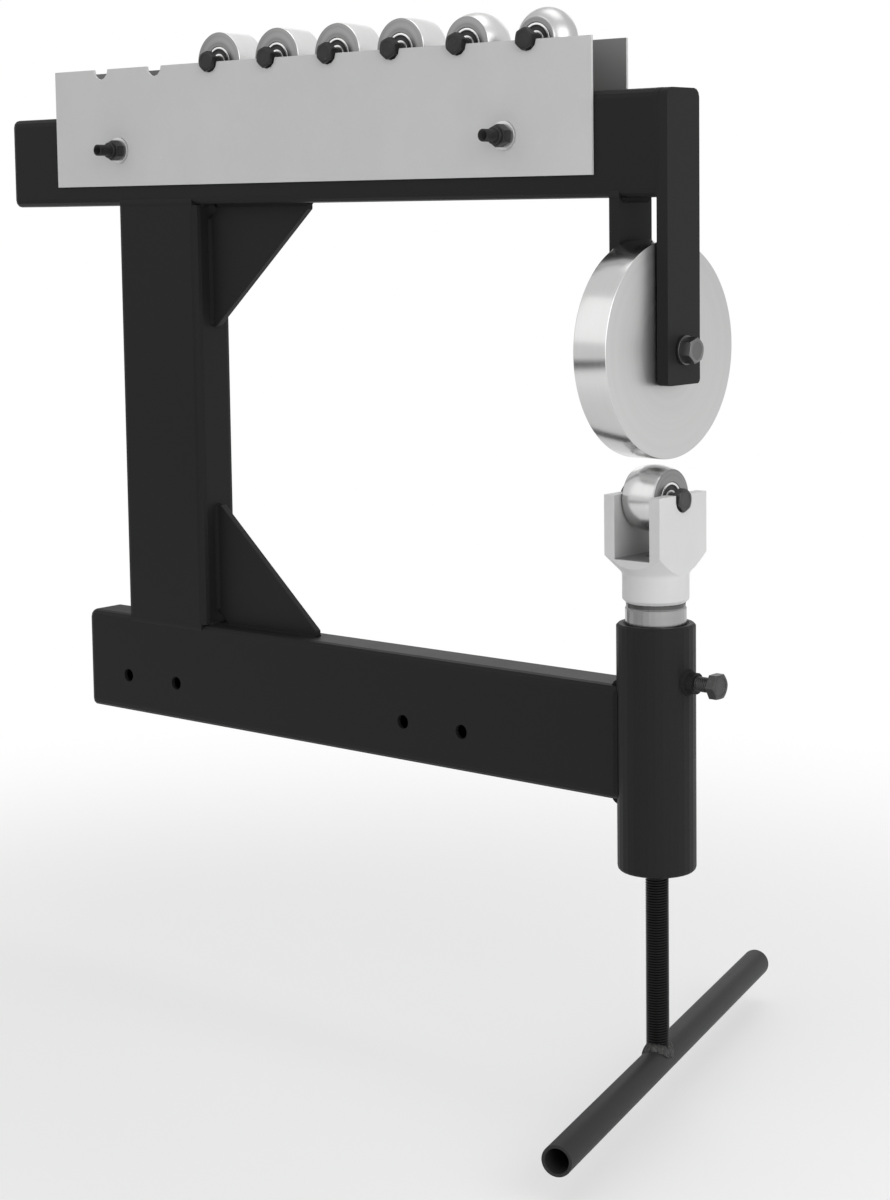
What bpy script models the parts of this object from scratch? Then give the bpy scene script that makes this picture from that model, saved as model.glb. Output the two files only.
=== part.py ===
# Bench english wheel: a welded C frame, an upper wheel in a fork, and a screw-raised
# anvil yoke, with a rack of six spare anvils along the top arm.
# X runs along the arms towards the wheels, Y is across the frame, Z is up.
# The origin is on the lower arm's underside, in the middle of the stretch that is gripped.
# Places below are measured from the upper wheel's lowest point, where the sheet is worked,
# and one parent empty sets that point above the origin.

import math

import bmesh
import bpy
from mathutils import Matrix, Vector

# Fits and shared cuts
seat_gap = 0.0003
running_gap = 0.0004
overrun = 0.002
weld_distance = 0.00001

# Upper wheel and its axle
wheel_diameter = 0.200
wheel_width = 0.036
wheel_edge = 0.0012
wheel_web_bore = 0.026
wheel_bearing_bore = 0.015
wheel_bearing_diameter = 0.035
wheel_bearing_width = 0.011
axle_head_flats = 0.0215
axle_head_height = 0.011
axle_washer_diameter = 0.027
axle_washer_thickness = 0.003
axle_nut_height = 0.013
axle_end_length = 0.006
spacer_wall = 0.004

# Fork that carries the wheel
fork_gap = 0.041
fork_plate = 0.012
fork_tip_drop = 0.0315
fork_tip_radius = 0.004

# Frame of rectangular tube
upper_arm_depth = 0.0975
lower_arm_depth = 0.109
column_depth = 0.122
tube_width = 0.0508
tube_wall = 0.0045
tube_corner = 0.008
wheel_to_arm = 0.138
frame_opening = 0.450
throat_reach = 0.573
upper_arm_overhang = 0.1655
lower_arm_overhang = 0.0575
gusset_length = 0.143
gusset_height = 0.129
gusset_thickness = 0.008
gusset_nose = 0.006
gusset_relief = 0.014
cap_flange = 0.003
cap_plug_length = 0.014
cap_wall = 0.0025

# Where the lower arm is gripped, back from the wheels' axis
grip_reach = 0.385

# Bolt holes in the lower arm
arm_hole_diameter = 0.0145
arm_hole_drop = 0.068
arm_hole_pitch = 0.0762
arm_hole_inset = 0.0565
front_hole_reach = 0.2155

# Post, housing and lead screw
post_diameter = 0.057
housing_wall = 0.008
housing_rise = 0.059
housing_drop = 0.065
housing_edge = 0.004
post_length = 0.180
post_groove = 0.0008
post_groove_width = 0.004
post_spigot_height = 0.010
post_spigot_diameter = 0.036
lead_nut_height = 0.024
screw_diameter = 0.022
screw_tip_diameter = 0.014
screw_tip_length = 0.030
thrust_bearing_diameter = 0.036
thrust_bearing_height = 0.010
handle_drop = 0.1845
handle_length = 0.575
handle_shift = 0.028
handle_diameter = 0.028
handle_wall = 0.003
handle_turn = math.radians(16)
post_drop = 0.020

# Yoke and working anvil
anvil_diameter = 0.062
anvil_width = 0.036
anvil_edge = 0.0008
anvil_web_bore = 0.018
anvil_bearing_bore = 0.012
anvil_bearing_diameter = 0.032
anvil_bearing_width = 0.010
bearing_recess = 0.0008
bearing_ring_wall = 0.0022
pin_length = 0.068
pin_head_flats = 0.019
pin_head_height = 0.008
sheet_gap = 0.006
yoke_length = 0.062
yoke_width = 0.075
yoke_ear = 0.0115
yoke_ear_rise = 0.005
yoke_floor_drop = 0.0535
yoke_base_height = 0.015
yoke_collar_height = 0.028
yoke_collar_edge = 0.0035
yoke_edge = 0.0015
yoke_screw_diameter = 0.012
yoke_screw_head_diameter = 0.018
yoke_screw_head_height = 0.012
yoke_screw_socket_flats = 0.010
yoke_screw_socket_depth = 0.006
yoke_screw_engagement = 0.024

# Crown of each anvil: how far its edge falls below its middle
working_crown = 0.0030
stored_crowns = [0.0002, 0.0004, 0.0006, 0.0009, 0.0042, 0.0095]
low_crown = 0.001

# Clamp screw that guides and locks the post
clamp_rise = 0.007
boss_diameter = 0.020
boss_height = 0.009
clamp_diameter = 0.014
clamp_head_flats = 0.022
clamp_head_height = 0.009
clamp_shank_show = 0.017
clamp_tip_diameter = 0.009
clamp_tip_length = 0.009
keyway_depth = 0.005

# Rack of spare anvils on the upper arm
rack_thickness = 0.003
rack_height = 0.126
rack_rise = 0.0497
rack_front_reach = 0.0487
notch_count = 8
notch_pitch = 0.0841
rack_margin = 0.0745
notch_lift = 0.0005
stored_shift = 0.0035
rack_bolt_inset = 0.102
rack_bolt_drop = 0.038
rack_bolt_diameter = 0.012
rack_nut_flats = 0.019
rack_nut_height = 0.010
rack_nut_collar = 0.004
rack_bolt_tail = 0.015
rack_washer_diameter = 0.028
rack_washer_thickness = 0.0025

# Facets of round pieces
wheel_steps = 56
post_steps = 32
anvil_steps = 22
bearing_steps = 16
small_steps = 12
corner_steps = 3
crown_steps = 3
hexagon_steps = 6

# Places that follow from the sizes
wheel_z = wheel_diameter / 2
arm_underside_z = wheel_z + wheel_to_arm
arm_middle_z = arm_underside_z + upper_arm_depth / 2
arm_top_z = arm_underside_z + upper_arm_depth
lower_top_z = arm_underside_z - frame_opening
lower_middle_z = lower_top_z - lower_arm_depth / 2
lower_underside_z = lower_top_z - lower_arm_depth
column_front_x = -throat_reach
column_middle_x = column_front_x - column_depth / 2
column_back_x = column_front_x - column_depth
fork_inner_x = fork_gap / 2
fork_outer_x = fork_inner_x + fork_plate
fork_tip_z = wheel_z - fork_tip_drop
side_y = tube_width / 2

anvil_radius = anvil_diameter / 2
pin_z = -sheet_gap - anvil_radius
pin_head_radius = pin_head_flats / math.sqrt(3)
slot_radius = pin_head_radius + running_gap
ear_top_z = pin_z + yoke_ear_rise
yoke_floor_z = pin_z - yoke_floor_drop
yoke_base_z = yoke_floor_z - yoke_base_height
collar_bottom_z = yoke_base_z - yoke_collar_height
collar_radius = yoke_length / 2
channel_width = yoke_length - 2 * yoke_ear

post_radius = post_diameter / 2
bore_radius = post_radius + running_gap
housing_radius = bore_radius + housing_wall
housing_top_z = lower_top_z + housing_rise
housing_bottom_z = lower_underside_z - housing_drop
post_top_z = collar_bottom_z - seat_gap
post_bottom_z = post_top_z - post_length
spigot_radius = post_spigot_diameter / 2
nut_top_z = housing_bottom_z + lead_nut_height
screw_radius = screw_diameter / 2
screw_shoulder_z = post_bottom_z - thrust_bearing_height - 2 * seat_gap
handle_z = housing_bottom_z - handle_drop
clamp_z = lower_top_z + clamp_rise

rack_inner_y = side_y + seat_gap
rack_outer_y = rack_inner_y + rack_thickness
rack_top_z = arm_top_z + rack_rise
rack_bottom_z = rack_top_z - rack_height
rack_length = (notch_count - 1) * notch_pitch + 2 * rack_margin
rack_front_x = -rack_front_reach
rack_back_x = rack_front_x - rack_length
stored_pin_z = rack_top_z + notch_lift
rack_bolt_z = arm_top_z - rack_bolt_drop
rack_bolt_places = [rack_back_x + rack_bolt_inset, rack_front_x - rack_bolt_inset]
notch_places = [rack_front_x - rack_margin - i * notch_pitch for i in range(notch_count)]

# Unit directions
along_x = Vector((1, 0, 0))
along_y = Vector((0, 1, 0))
along_z = Vector((0, 0, 1))


def clear_scene():
    for old in list(bpy.data.objects):
        bpy.data.objects.remove(old, do_unlink=True)


def collection(name):
    made = bpy.data.collections.new(name)
    bpy.context.scene.collection.children.link(made)
    return made


def finish(name, colour, metallic, roughness):
    made = bpy.data.materials.new(name)
    made.use_nodes = True
    shader = made.node_tree.nodes["Principled BSDF"]
    shader.inputs["Base Color"].default_value = (*colour, 1)
    shader.inputs["Metallic"].default_value = metallic
    shader.inputs["Roughness"].default_value = roughness
    made.diffuse_color = (*colour, 1)
    return made


def turn_to(direction):
    """Rotation that takes the Z axis to a direction."""
    return Vector(direction).to_track_quat("Z", "Y").to_matrix().to_4x4()


def body(name, place, carrier=None):
    """An empty on a joint's axis, which carries the pieces of one moving body."""
    empty = bpy.data.objects.new(name, None)
    parts.objects.link(empty)
    empty.parent = carrier or machine
    empty.location = Vector(place) - body_places[empty.parent.name]
    body_places[name] = Vector(place)
    return empty


def add(name, mesh, material, carrier=None):
    """A piece whose mesh is measured from the working point, hung on the body that carries it."""
    made = bpy.data.objects.new(name, mesh)
    mesh.materials.clear()
    mesh.materials.append(material)
    parts.objects.link(made)
    made.parent = carrier or machine
    mesh.transform(Matrix.Translation(-body_places[made.parent.name]))
    mesh.shade_smooth()
    mesh.set_sharp_from_angle(angle=math.radians(30))
    return made


def cutter(name, mesh):
    made = bpy.data.objects.new(name, mesh)
    made.hide_render = True
    made.display_type = "WIRE"
    cutters.objects.link(made)
    made.parent = machine
    return made


def combine(piece, tool, operation):
    """Cut a piece with a tool, or join them, in world space."""
    step = piece.modifiers.new(tool.name, "BOOLEAN")
    step.operation = operation
    step.solver = "EXACT"
    step.object = tool
    return step


def box_mesh(name, size, centre):
    made = bmesh.new()
    bmesh.ops.create_cube(made, size=1)
    bmesh.ops.scale(made, vec=size, verts=made.verts)
    bmesh.ops.translate(made, vec=centre, verts=made.verts)
    mesh = bpy.data.meshes.new(name)
    made.to_mesh(mesh)
    made.free()
    return mesh


def rod_mesh(name, radius, start, end, steps, turn=0):
    """A cylinder, or a prism of few steps, from one point to another."""
    start = Vector(start)
    end = Vector(end)
    made = bmesh.new()
    place = Matrix.Translation((start + end) / 2) @ turn_to(end - start) @ Matrix.Rotation(turn, 4, "Z")
    bmesh.ops.create_cone(made, cap_ends=True, segments=steps, radius1=radius, radius2=radius,
                          depth=(end - start).length, matrix=place)
    mesh = bpy.data.meshes.new(name)
    made.to_mesh(mesh)
    made.free()
    return mesh


def evaluated_mesh(name, source):
    """The finished mesh of a temporary object, in world space."""
    bpy.context.view_layer.update()
    graph = bpy.context.evaluated_depsgraph_get()
    mesh = bpy.data.meshes.new_from_object(source.evaluated_get(graph))
    mesh.name = name
    mesh.transform(source.matrix_world)
    data = source.data
    bpy.data.objects.remove(source, do_unlink=True)
    if isinstance(data, bpy.types.Mesh):
        bpy.data.meshes.remove(data)
    else:
        bpy.data.curves.remove(data)
    made = bmesh.new()
    made.from_mesh(mesh)
    bmesh.ops.remove_doubles(made, verts=made.verts, dist=weld_distance)
    made.to_mesh(mesh)
    made.free()
    return mesh


def turned_mesh(name, outline, steps, centre, direction, ring=False):
    """Turn an outline of (radius, height) points about a direction through a centre.
    An open outline starts on the axis at the top and runs down the outer side.
    A ring's outline goes round its section the same way and closes on itself."""
    count = len(outline)
    edges = [(i, i + 1) for i in range(count - 1)]
    if ring:
        edges.append((count - 1, 0))
    profile = bpy.data.meshes.new(name)
    profile.from_pydata([(r, 0, h) for r, h in outline], edges, [])
    made = bpy.data.objects.new(name, profile)
    parts.objects.link(made)
    screw = made.modifiers.new("turn", "SCREW")
    screw.axis = "Z"
    screw.angle = math.tau
    screw.steps = steps
    screw.render_steps = steps
    screw.use_merge_vertices = True
    screw.merge_threshold = weld_distance
    made.matrix_world = Matrix.Translation(centre) @ turn_to(direction)
    return evaluated_mesh(name, made)


def plate_mesh(name, outlines, thickness, centre, across, up):
    """A flat plate: closed outlines in its own plane, the first outer and the rest holes.
    Across and up are the plane's two directions, and its thickness is about the centre."""
    curve = bpy.data.curves.new(name, "CURVE")
    curve.dimensions = "2D"
    curve.fill_mode = "BOTH"
    curve.extrude = thickness / 2
    for outline in outlines:
        spline = curve.splines.new("POLY")
        spline.points.add(len(outline) - 1)
        for point, (a, b) in zip(spline.points, outline):
            point.co = (a, b, 0, 1)
        spline.use_cyclic_u = True
    made = bpy.data.objects.new(name, curve)
    parts.objects.link(made)
    across = Vector(across)
    up = Vector(up)
    frame = Matrix((across, up, across.cross(up))).transposed().to_4x4()
    made.matrix_world = Matrix.Translation(centre) @ frame
    return evaluated_mesh(name, made)


def arc(centre, radius, start, end, steps):
    """Points along an arc, angles in degrees."""
    points = []
    for i in range(steps + 1):
        angle = math.radians(start + (end - start) * i / steps)
        points.append((centre[0] + radius * math.cos(angle), centre[1] + radius * math.sin(angle)))
    return points


def rounded_rectangle(width, height, radius):
    a = width / 2 - radius
    b = height / 2 - radius
    outline = arc((a, b), radius, 0, 90, corner_steps)
    outline += arc((-a, b), radius, 90, 180, corner_steps)
    outline += arc((-a, -b), radius, 180, 270, corner_steps)
    outline += arc((a, -b), radius, 270, 360, corner_steps)
    return outline


def tube_mesh(name, start, end, up, depth):
    """A length of the frame's rectangular tube, its long side along up."""
    start = Vector(start)
    end = Vector(end)
    direction = (end - start).normalized()
    outer = rounded_rectangle(tube_width, depth, tube_corner)
    inner = rounded_rectangle(tube_width - 2 * tube_wall, depth - 2 * tube_wall, tube_corner - tube_wall)
    across = Vector(up).cross(direction)
    return plate_mesh(name, [outer, inner], (end - start).length, (start + end) / 2, across, up)


def hexagon_radius(flats):
    return flats / math.sqrt(3)


def soften(piece, width, angle=30, segments=1):
    step = piece.modifiers.new("edge", "BEVEL")
    step.width = width
    step.segments = segments
    step.limit_method = "ANGLE"
    step.angle_limit = math.radians(angle)
    return step


def through_hole(piece, radius, centre, direction, length, steps=small_steps):
    """A round hole through a piece, centred on a point."""
    reach = Vector(direction) * (length / 2 + overrun)
    centre = Vector(centre)
    tool = cutter(piece.name + "_hole", rod_mesh("hole", radius, centre - reach, centre + reach, steps))
    combine(piece, tool, "DIFFERENCE")


def make_frame():
    """The upper arm, the column and the lower arm, with their gussets and end caps."""
    arm_back_x = column_back_x - upper_arm_overhang
    arm_front_x = fork_inner_x - seat_gap
    mesh = tube_mesh("upper_arm", (arm_back_x, 0, arm_middle_z), (arm_front_x, 0, arm_middle_z), along_z,
                     upper_arm_depth)
    upper_arm = add("upper_arm", mesh, black_paint)
    bolt_hole = rack_bolt_diameter / 2 + running_gap
    for x in rack_bolt_places:
        through_hole(upper_arm, bolt_hole, (x, 0, rack_bolt_z), along_y, tube_width)

    column_top = (column_middle_x, 0, arm_underside_z - seat_gap)
    column_foot = (column_middle_x, 0, lower_top_z + seat_gap)
    add("column", tube_mesh("column", column_foot, column_top, along_x, column_depth), black_paint)

    lower_back_x = column_back_x - lower_arm_overhang
    mesh = tube_mesh("lower_arm", (lower_back_x, 0, lower_middle_z), (0, 0, lower_middle_z), along_z,
                     lower_arm_depth)
    lower_arm = add("lower_arm", mesh, black_paint)
    hole_z = lower_top_z - arm_hole_drop
    back_holes = [lower_back_x + arm_hole_inset, lower_back_x + arm_hole_inset + arm_hole_pitch]
    front_holes = [-front_hole_reach, -front_hole_reach - arm_hole_pitch]
    for x in back_holes + front_holes:
        through_hole(lower_arm, arm_hole_diameter / 2, (x, 0, hole_z), along_y, tube_width)
    socket = housing_radius + seat_gap
    through_hole(lower_arm, socket, (0, 0, lower_middle_z), along_z, lower_arm_depth, post_steps)

    make_end_cap("upper_arm_cap", (arm_back_x, 0, arm_middle_z), upper_arm_depth)
    make_end_cap("lower_arm_cap", (lower_back_x, 0, lower_middle_z), lower_arm_depth)
    make_gusset("upper_gusset", arm_underside_z - seat_gap, -1)
    make_gusset("lower_gusset", lower_top_z + seat_gap, 1)


def make_end_cap(name, place, depth):
    """A plastic cap: a flange over the tube's end and a hollow plug inside it."""
    x, y, z = place
    flange_centre = (x - seat_gap - cap_flange / 2, y, z)
    face = rounded_rectangle(tube_width, depth, tube_corner)
    mesh = plate_mesh(name, [face], cap_flange, flange_centre, along_y, along_z)
    cap = add(name, mesh, black_plastic)
    inset = 2 * tube_wall + 2 * running_gap
    corner = tube_corner - tube_wall
    plug = rounded_rectangle(tube_width - inset, depth - inset, corner)
    inset += 2 * cap_wall
    hollow = rounded_rectangle(tube_width - inset, depth - inset, corner)
    length = cap_plug_length + cap_flange / 2
    plug_centre = (x - seat_gap - cap_flange / 2 + length / 2, y, z)
    tool = cutter(name + "_plug", plate_mesh(name, [plug, hollow], length, plug_centre, along_y, along_z))
    combine(cap, tool, "UNION")


def make_gusset(name, arm_z, side):
    """A corner plate in the frame's middle plane, its long side along the arm."""
    corner_x = column_front_x + seat_gap
    tip = arm_z + side * gusset_height
    outline = [
        (corner_x + gusset_relief, arm_z),
        (corner_x + gusset_length, arm_z),
        (corner_x + gusset_length, arm_z + side * gusset_nose),
        (corner_x + gusset_nose, tip),
        (corner_x, tip),
        (corner_x, arm_z + side * gusset_relief),
    ]
    mesh = plate_mesh(name, [outline], gusset_thickness, (0, 0, 0), along_x, along_z)
    add(name, mesh, black_paint)


def make_fork():
    """The outer leg closes the arm's end, and the inner leg hangs from its underside."""
    outer_x = fork_inner_x + fork_plate / 2
    for name, x, top_z in (("outer_fork_leg", outer_x, arm_top_z),
                           ("inner_fork_leg", -outer_x, arm_underside_z - seat_gap)):
        half = tube_width / 2
        foot = fork_tip_z + fork_tip_radius
        outline = arc((half - fork_tip_radius, foot), fork_tip_radius, 0, -90, corner_steps)
        outline += arc((-half + fork_tip_radius, foot), fork_tip_radius, -90, -180, corner_steps)
        if top_z == arm_top_z:
            crest = top_z - tube_corner
            outline += arc((-half + tube_corner, crest), tube_corner, 180, 90, corner_steps)
            outline += arc((half - tube_corner, crest), tube_corner, 90, 0, corner_steps)
        else:
            outline += [(-half, top_z), (half, top_z)]
        mesh = plate_mesh(name, [outline], fork_plate, (x, 0, 0), along_y, along_z)
        leg = add(name, mesh, black_paint)
        radius = wheel_bearing_bore / 2 + running_gap
        through_hole(leg, radius, (x, 0, wheel_z), along_x, fork_plate, bearing_steps)


def bearing_outline(bore, diameter, width, ring_wall):
    """Section of a sealed bearing: two rings with the seal set back between them."""
    inner = bore / 2 + seat_gap
    outer = diameter / 2 - seat_gap
    half = width / 2
    return [
        (inner, half),
        (inner + ring_wall, half),
        (inner + ring_wall, half - bearing_recess),
        (outer - ring_wall, half - bearing_recess),
        (outer - ring_wall, half),
        (outer, half),
        (outer, -half),
        (inner, -half),
    ]


def make_upper_wheel():
    """The big wheel on two bearings, its bolt, spacers, washer and nut."""
    carrier = body("upper_wheel_axis", (0, 0, wheel_z))
    radius = wheel_diameter / 2
    half = wheel_width / 2
    pocket = wheel_bearing_diameter / 2
    floor = half - wheel_bearing_width - seat_gap
    web = wheel_web_bore / 2
    outline = [
        (pocket, half),
        (radius - wheel_edge, half),
        (radius, half - wheel_edge),
        (radius, -half + wheel_edge),
        (radius - wheel_edge, -half),
        (pocket, -half),
        (pocket, -floor),
        (web, -floor),
        (web, floor),
        (pocket, floor),
    ]
    centre = (0, 0, wheel_z)
    add("upper_wheel", turned_mesh("upper_wheel", outline, wheel_steps, centre, along_x, ring=True),
        wheel_steel, carrier)
    section = bearing_outline(wheel_bearing_bore, wheel_bearing_diameter, wheel_bearing_width,
                              bearing_ring_wall)
    for name, side in (("wheel_bearing_outer", 1), ("wheel_bearing_inner", -1)):
        x = side * (half - wheel_bearing_width / 2)
        mesh = turned_mesh(name, section, bearing_steps, (x, 0, wheel_z), along_x * side, ring=True)
        add(name, mesh, bearing_steel, carrier)

    bore = wheel_bearing_bore / 2 + seat_gap
    spacer_start = half + seat_gap
    spacer_half = (fork_inner_x - seat_gap - spacer_start) / 2
    ring = [
        (bore, spacer_half),
        (bore + spacer_wall, spacer_half),
        (bore + spacer_wall, -spacer_half),
        (bore, -spacer_half),
    ]
    for name, side in (("axle_spacer_outer", 1), ("axle_spacer_inner", -1)):
        x = side * (spacer_start + spacer_half)
        mesh = turned_mesh(name, ring, bearing_steps, (x, 0, wheel_z), along_x, ring=True)
        add(name, mesh, bright_steel)

    washer_face = fork_outer_x + seat_gap
    head_face = washer_face + axle_washer_thickness
    head_end = head_face + axle_head_height
    nut_face = -fork_outer_x - seat_gap
    nut_end = nut_face - axle_nut_height
    shank_end = nut_end - axle_end_length
    shank_radius = wheel_bearing_bore / 2
    bolt = add("wheel_axle", rod_mesh("wheel_axle", shank_radius, (shank_end, 0, wheel_z),
               (head_face + overrun, 0, wheel_z), bearing_steps), black_steel)
    head = rod_mesh("axle_head", hexagon_radius(axle_head_flats), (head_face, 0, wheel_z),
                    (head_end, 0, wheel_z), hexagon_steps)
    combine(bolt, cutter("axle_head", head), "UNION")
    washer = rod_mesh("axle_washer", axle_washer_diameter / 2, (washer_face, 0, wheel_z),
                      (head_face + weld_distance, 0, wheel_z), bearing_steps)
    combine(bolt, cutter("axle_washer", washer), "UNION")
    nut = add("wheel_axle_nut", rod_mesh("wheel_axle_nut", hexagon_radius(axle_head_flats),
              (nut_end, 0, wheel_z), (nut_face, 0, wheel_z), hexagon_steps), black_steel)
    middle = (nut_end + nut_face) / 2
    through_hole(nut, shank_radius + seat_gap, (middle, 0, wheel_z), along_x, axle_nut_height, bearing_steps)


def make_housing():
    """The round housing at the lower arm's end, its lead nut and the clamp boss."""
    rim = housing_edge / 2
    outline = [
        (bore_radius + rim, housing_top_z),
        (housing_radius - rim, housing_top_z),
        (housing_radius, housing_top_z - rim),
    ]
    outline += arc((housing_radius - housing_edge, housing_bottom_z + housing_edge),
                   housing_edge, 0, -90, corner_steps)
    outline += [
        (bore_radius, housing_bottom_z),
        (bore_radius, housing_top_z - rim),
    ]
    mesh = turned_mesh("post_housing", outline, post_steps, (0, 0, 0), along_z, ring=True)
    housing = add("post_housing", mesh, black_paint)
    reach = housing_radius + overrun
    tool = rod_mesh("clamp_hole", clamp_diameter / 2 + running_gap, (0, 0, clamp_z), (reach, 0, clamp_z),
                    small_steps)
    combine(housing, cutter("clamp_hole", tool), "DIFFERENCE")

    nut = add("lead_nut", rod_mesh("lead_nut", bore_radius - seat_gap, (0, 0, housing_bottom_z),
              (0, 0, nut_top_z), post_steps), bright_steel)
    middle = (housing_bottom_z + nut_top_z) / 2
    through_hole(nut, screw_radius + running_gap, (0, 0, middle), along_z, lead_nut_height, bearing_steps)

    boss_end = housing_radius + boss_height
    boss = add("clamp_boss", rod_mesh("clamp_boss", boss_diameter / 2, (post_radius, 0, clamp_z),
               (boss_end, 0, clamp_z), bearing_steps), black_paint)
    tool = rod_mesh("boss_seat", housing_radius + seat_gap, (0, 0, clamp_z - boss_diameter),
                    (0, 0, clamp_z + boss_diameter), post_steps)
    combine(boss, cutter("boss_seat", tool), "DIFFERENCE")
    through_hole(boss, clamp_diameter / 2 + running_gap, (boss_end, 0, clamp_z), along_x, 2 * boss_diameter)


def make_clamp():
    """The clamp screw and the brass tip that it presses into the post's keyway."""
    keyway_floor = post_radius - keyway_depth
    tip_start = keyway_floor + seat_gap
    tip_end = tip_start + clamp_tip_length
    tip_carrier = body("clamp_tip_slide", (tip_start, 0, clamp_z))
    add("clamp_tip", rod_mesh("clamp_tip", clamp_tip_diameter / 2, (tip_start, 0, clamp_z),
        (tip_end, 0, clamp_z), small_steps), brass, tip_carrier)
    screw_carrier = body("clamp_screw_axis", (tip_end, 0, clamp_z), tip_carrier)
    head_face = housing_radius + boss_height + clamp_shank_show
    head_end = head_face + clamp_head_height
    screw = add("clamp_screw", rod_mesh("clamp_screw", clamp_diameter / 2, (tip_end + seat_gap, 0, clamp_z),
                (head_face + overrun, 0, clamp_z), small_steps), black_steel, screw_carrier)
    head = rod_mesh("clamp_head", hexagon_radius(clamp_head_flats), (head_face, 0, clamp_z),
                    (head_end, 0, clamp_z), hexagon_steps)
    combine(screw, cutter("clamp_head", head), "UNION")


def make_post():
    """The sliding post with its keyway, top spigot and bottom bore for the lead screw."""
    carrier = body("post_slide", (0, 0, 0))
    tip = screw_tip_diameter / 2 + running_gap
    bore_end = post_bottom_z + screw_tip_length
    groove_end = post_top_z - post_groove_width
    thread = yoke_screw_diameter / 2 + running_gap
    thread_end = post_top_z + post_spigot_height - yoke_screw_engagement
    outline = [
        (thread, post_top_z + post_spigot_height),
        (spigot_radius, post_top_z + post_spigot_height),
        (spigot_radius, post_top_z),
        (post_radius - post_groove, post_top_z),
        (post_radius - post_groove, groove_end),
        (post_radius, groove_end - post_groove),
        (post_radius, post_bottom_z + post_groove),
        (post_radius - post_groove, post_bottom_z),
        (tip, post_bottom_z),
        (tip, bore_end),
        (0, bore_end + tip / 2),
        (0, thread_end - thread / 2),
        (thread, thread_end),
    ]
    post = add("lower_post", turned_mesh("lower_post", outline, post_steps, (0, 0, 0), along_z, ring=True),
               bright_steel, carrier)
    keyway_radius = clamp_tip_diameter / 2 + running_gap
    top = clamp_z + post_drop
    foot = clamp_z - sheet_gap
    slot = arc((0, top), keyway_radius, 0, 180, 2 * corner_steps)
    slot += arc((0, foot), keyway_radius, 180, 360, 2 * corner_steps)
    depth = keyway_depth + overrun
    centre = (post_radius - keyway_depth + depth / 2, 0, 0)
    tool = cutter("keyway", plate_mesh("keyway", [slot], depth, centre, along_y, along_z))
    combine(post, tool, "DIFFERENCE")

    half = thrust_bearing_height / 2
    bearing_z = post_bottom_z - seat_gap - half
    race = thrust_bearing_diameter / 2
    section = [
        (tip, half),
        (race, half),
        (race, bearing_recess),
        (race - bearing_recess, bearing_recess),
        (race - bearing_recess, -bearing_recess),
        (race, -bearing_recess),
        (race, -half),
        (tip, -half),
    ]
    mesh = turned_mesh("thrust_bearing", section, bearing_steps, (0, 0, bearing_z), along_z, ring=True)
    add("thrust_bearing", mesh, bearing_steel, carrier)
    return carrier


def make_yoke(carrier):
    """The anvil yoke: a block turned down to a collar, milled to a channel and two slots."""
    half_length = yoke_length / 2
    half_width = yoke_width / 2
    corner = math.hypot(half_length, half_width) + overrun
    turned = [
        (0, ear_top_z + overrun),
        (corner, ear_top_z + overrun),
        (corner, yoke_base_z + corner - collar_radius),
        (collar_radius, yoke_base_z),
        (collar_radius, collar_bottom_z + yoke_collar_edge),
        (collar_radius - yoke_collar_edge, collar_bottom_z),
        (0, collar_bottom_z),
    ]
    block_height = ear_top_z - collar_bottom_z
    block = box_mesh("yoke", (yoke_length, yoke_width, block_height),
                     (0, 0, ear_top_z - block_height / 2))
    yoke = add("yoke", block, yoke_paint, carrier)
    soften(yoke, yoke_edge)
    shape = turned_mesh("yoke_turning", turned, post_steps, (0, 0, 0), along_z)
    combine(yoke, cutter("yoke_turning", shape), "INTERSECT")

    channel_top = ear_top_z + overrun
    size = (channel_width, yoke_width + 2 * overrun, channel_top - yoke_floor_z)
    tool = box_mesh("yoke_channel", size, (0, 0, (channel_top + yoke_floor_z) / 2))
    combine(yoke, cutter("yoke_channel", tool), "DIFFERENCE")
    slot = arc((0, pin_z), slot_radius, 180, 360, 2 * corner_steps)
    slot += [(slot_radius, channel_top), (-slot_radius, channel_top)]
    tool = plate_mesh("pin_slot", [slot], yoke_length + 2 * overrun, (0, 0, 0), along_y, along_z)
    combine(yoke, cutter("pin_slot", tool), "DIFFERENCE")
    spigot_top = post_top_z + post_spigot_height + seat_gap
    tool = rod_mesh("spigot_bore", spigot_radius + seat_gap, (0, 0, collar_bottom_z - overrun),
                    (0, 0, spigot_top), post_steps)
    combine(yoke, cutter("spigot_bore", tool), "DIFFERENCE")
    head_radius = yoke_screw_head_diameter / 2
    seat_z = yoke_floor_z - yoke_screw_head_height
    bore = rod_mesh("yoke_screw_bore", yoke_screw_diameter / 2 + running_gap, (0, 0, spigot_top - overrun),
                    (0, 0, yoke_floor_z + overrun), bearing_steps)
    combine(yoke, cutter("yoke_screw_bore", bore), "DIFFERENCE")
    bore = rod_mesh("yoke_screw_seat", head_radius + running_gap, (0, 0, seat_z),
                    (0, 0, yoke_floor_z + overrun), bearing_steps)
    combine(yoke, cutter("yoke_screw_seat", bore), "DIFFERENCE")

    socket = hexagon_radius(yoke_screw_socket_flats)
    head_foot = seat_z + seat_gap
    head_top = head_foot + yoke_screw_head_height - 2 * seat_gap
    shank_end = post_top_z + post_spigot_height - yoke_screw_engagement + seat_gap
    screw = [
        (0, head_top),
        (head_radius, head_top),
        (head_radius, head_foot),
        (yoke_screw_diameter / 2, head_foot),
        (yoke_screw_diameter / 2, shank_end),
        (0, shank_end),
    ]
    piece = add("yoke_screw", turned_mesh("yoke_screw", screw, small_steps, (0, 0, 0), along_z),
                black_steel, carrier)
    tool = rod_mesh("yoke_screw_socket", socket, (0, 0, head_top - yoke_screw_socket_depth),
                    (0, 0, head_top + overrun), hexagon_steps)
    combine(piece, cutter("yoke_screw_socket", tool), "DIFFERENCE")


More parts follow.
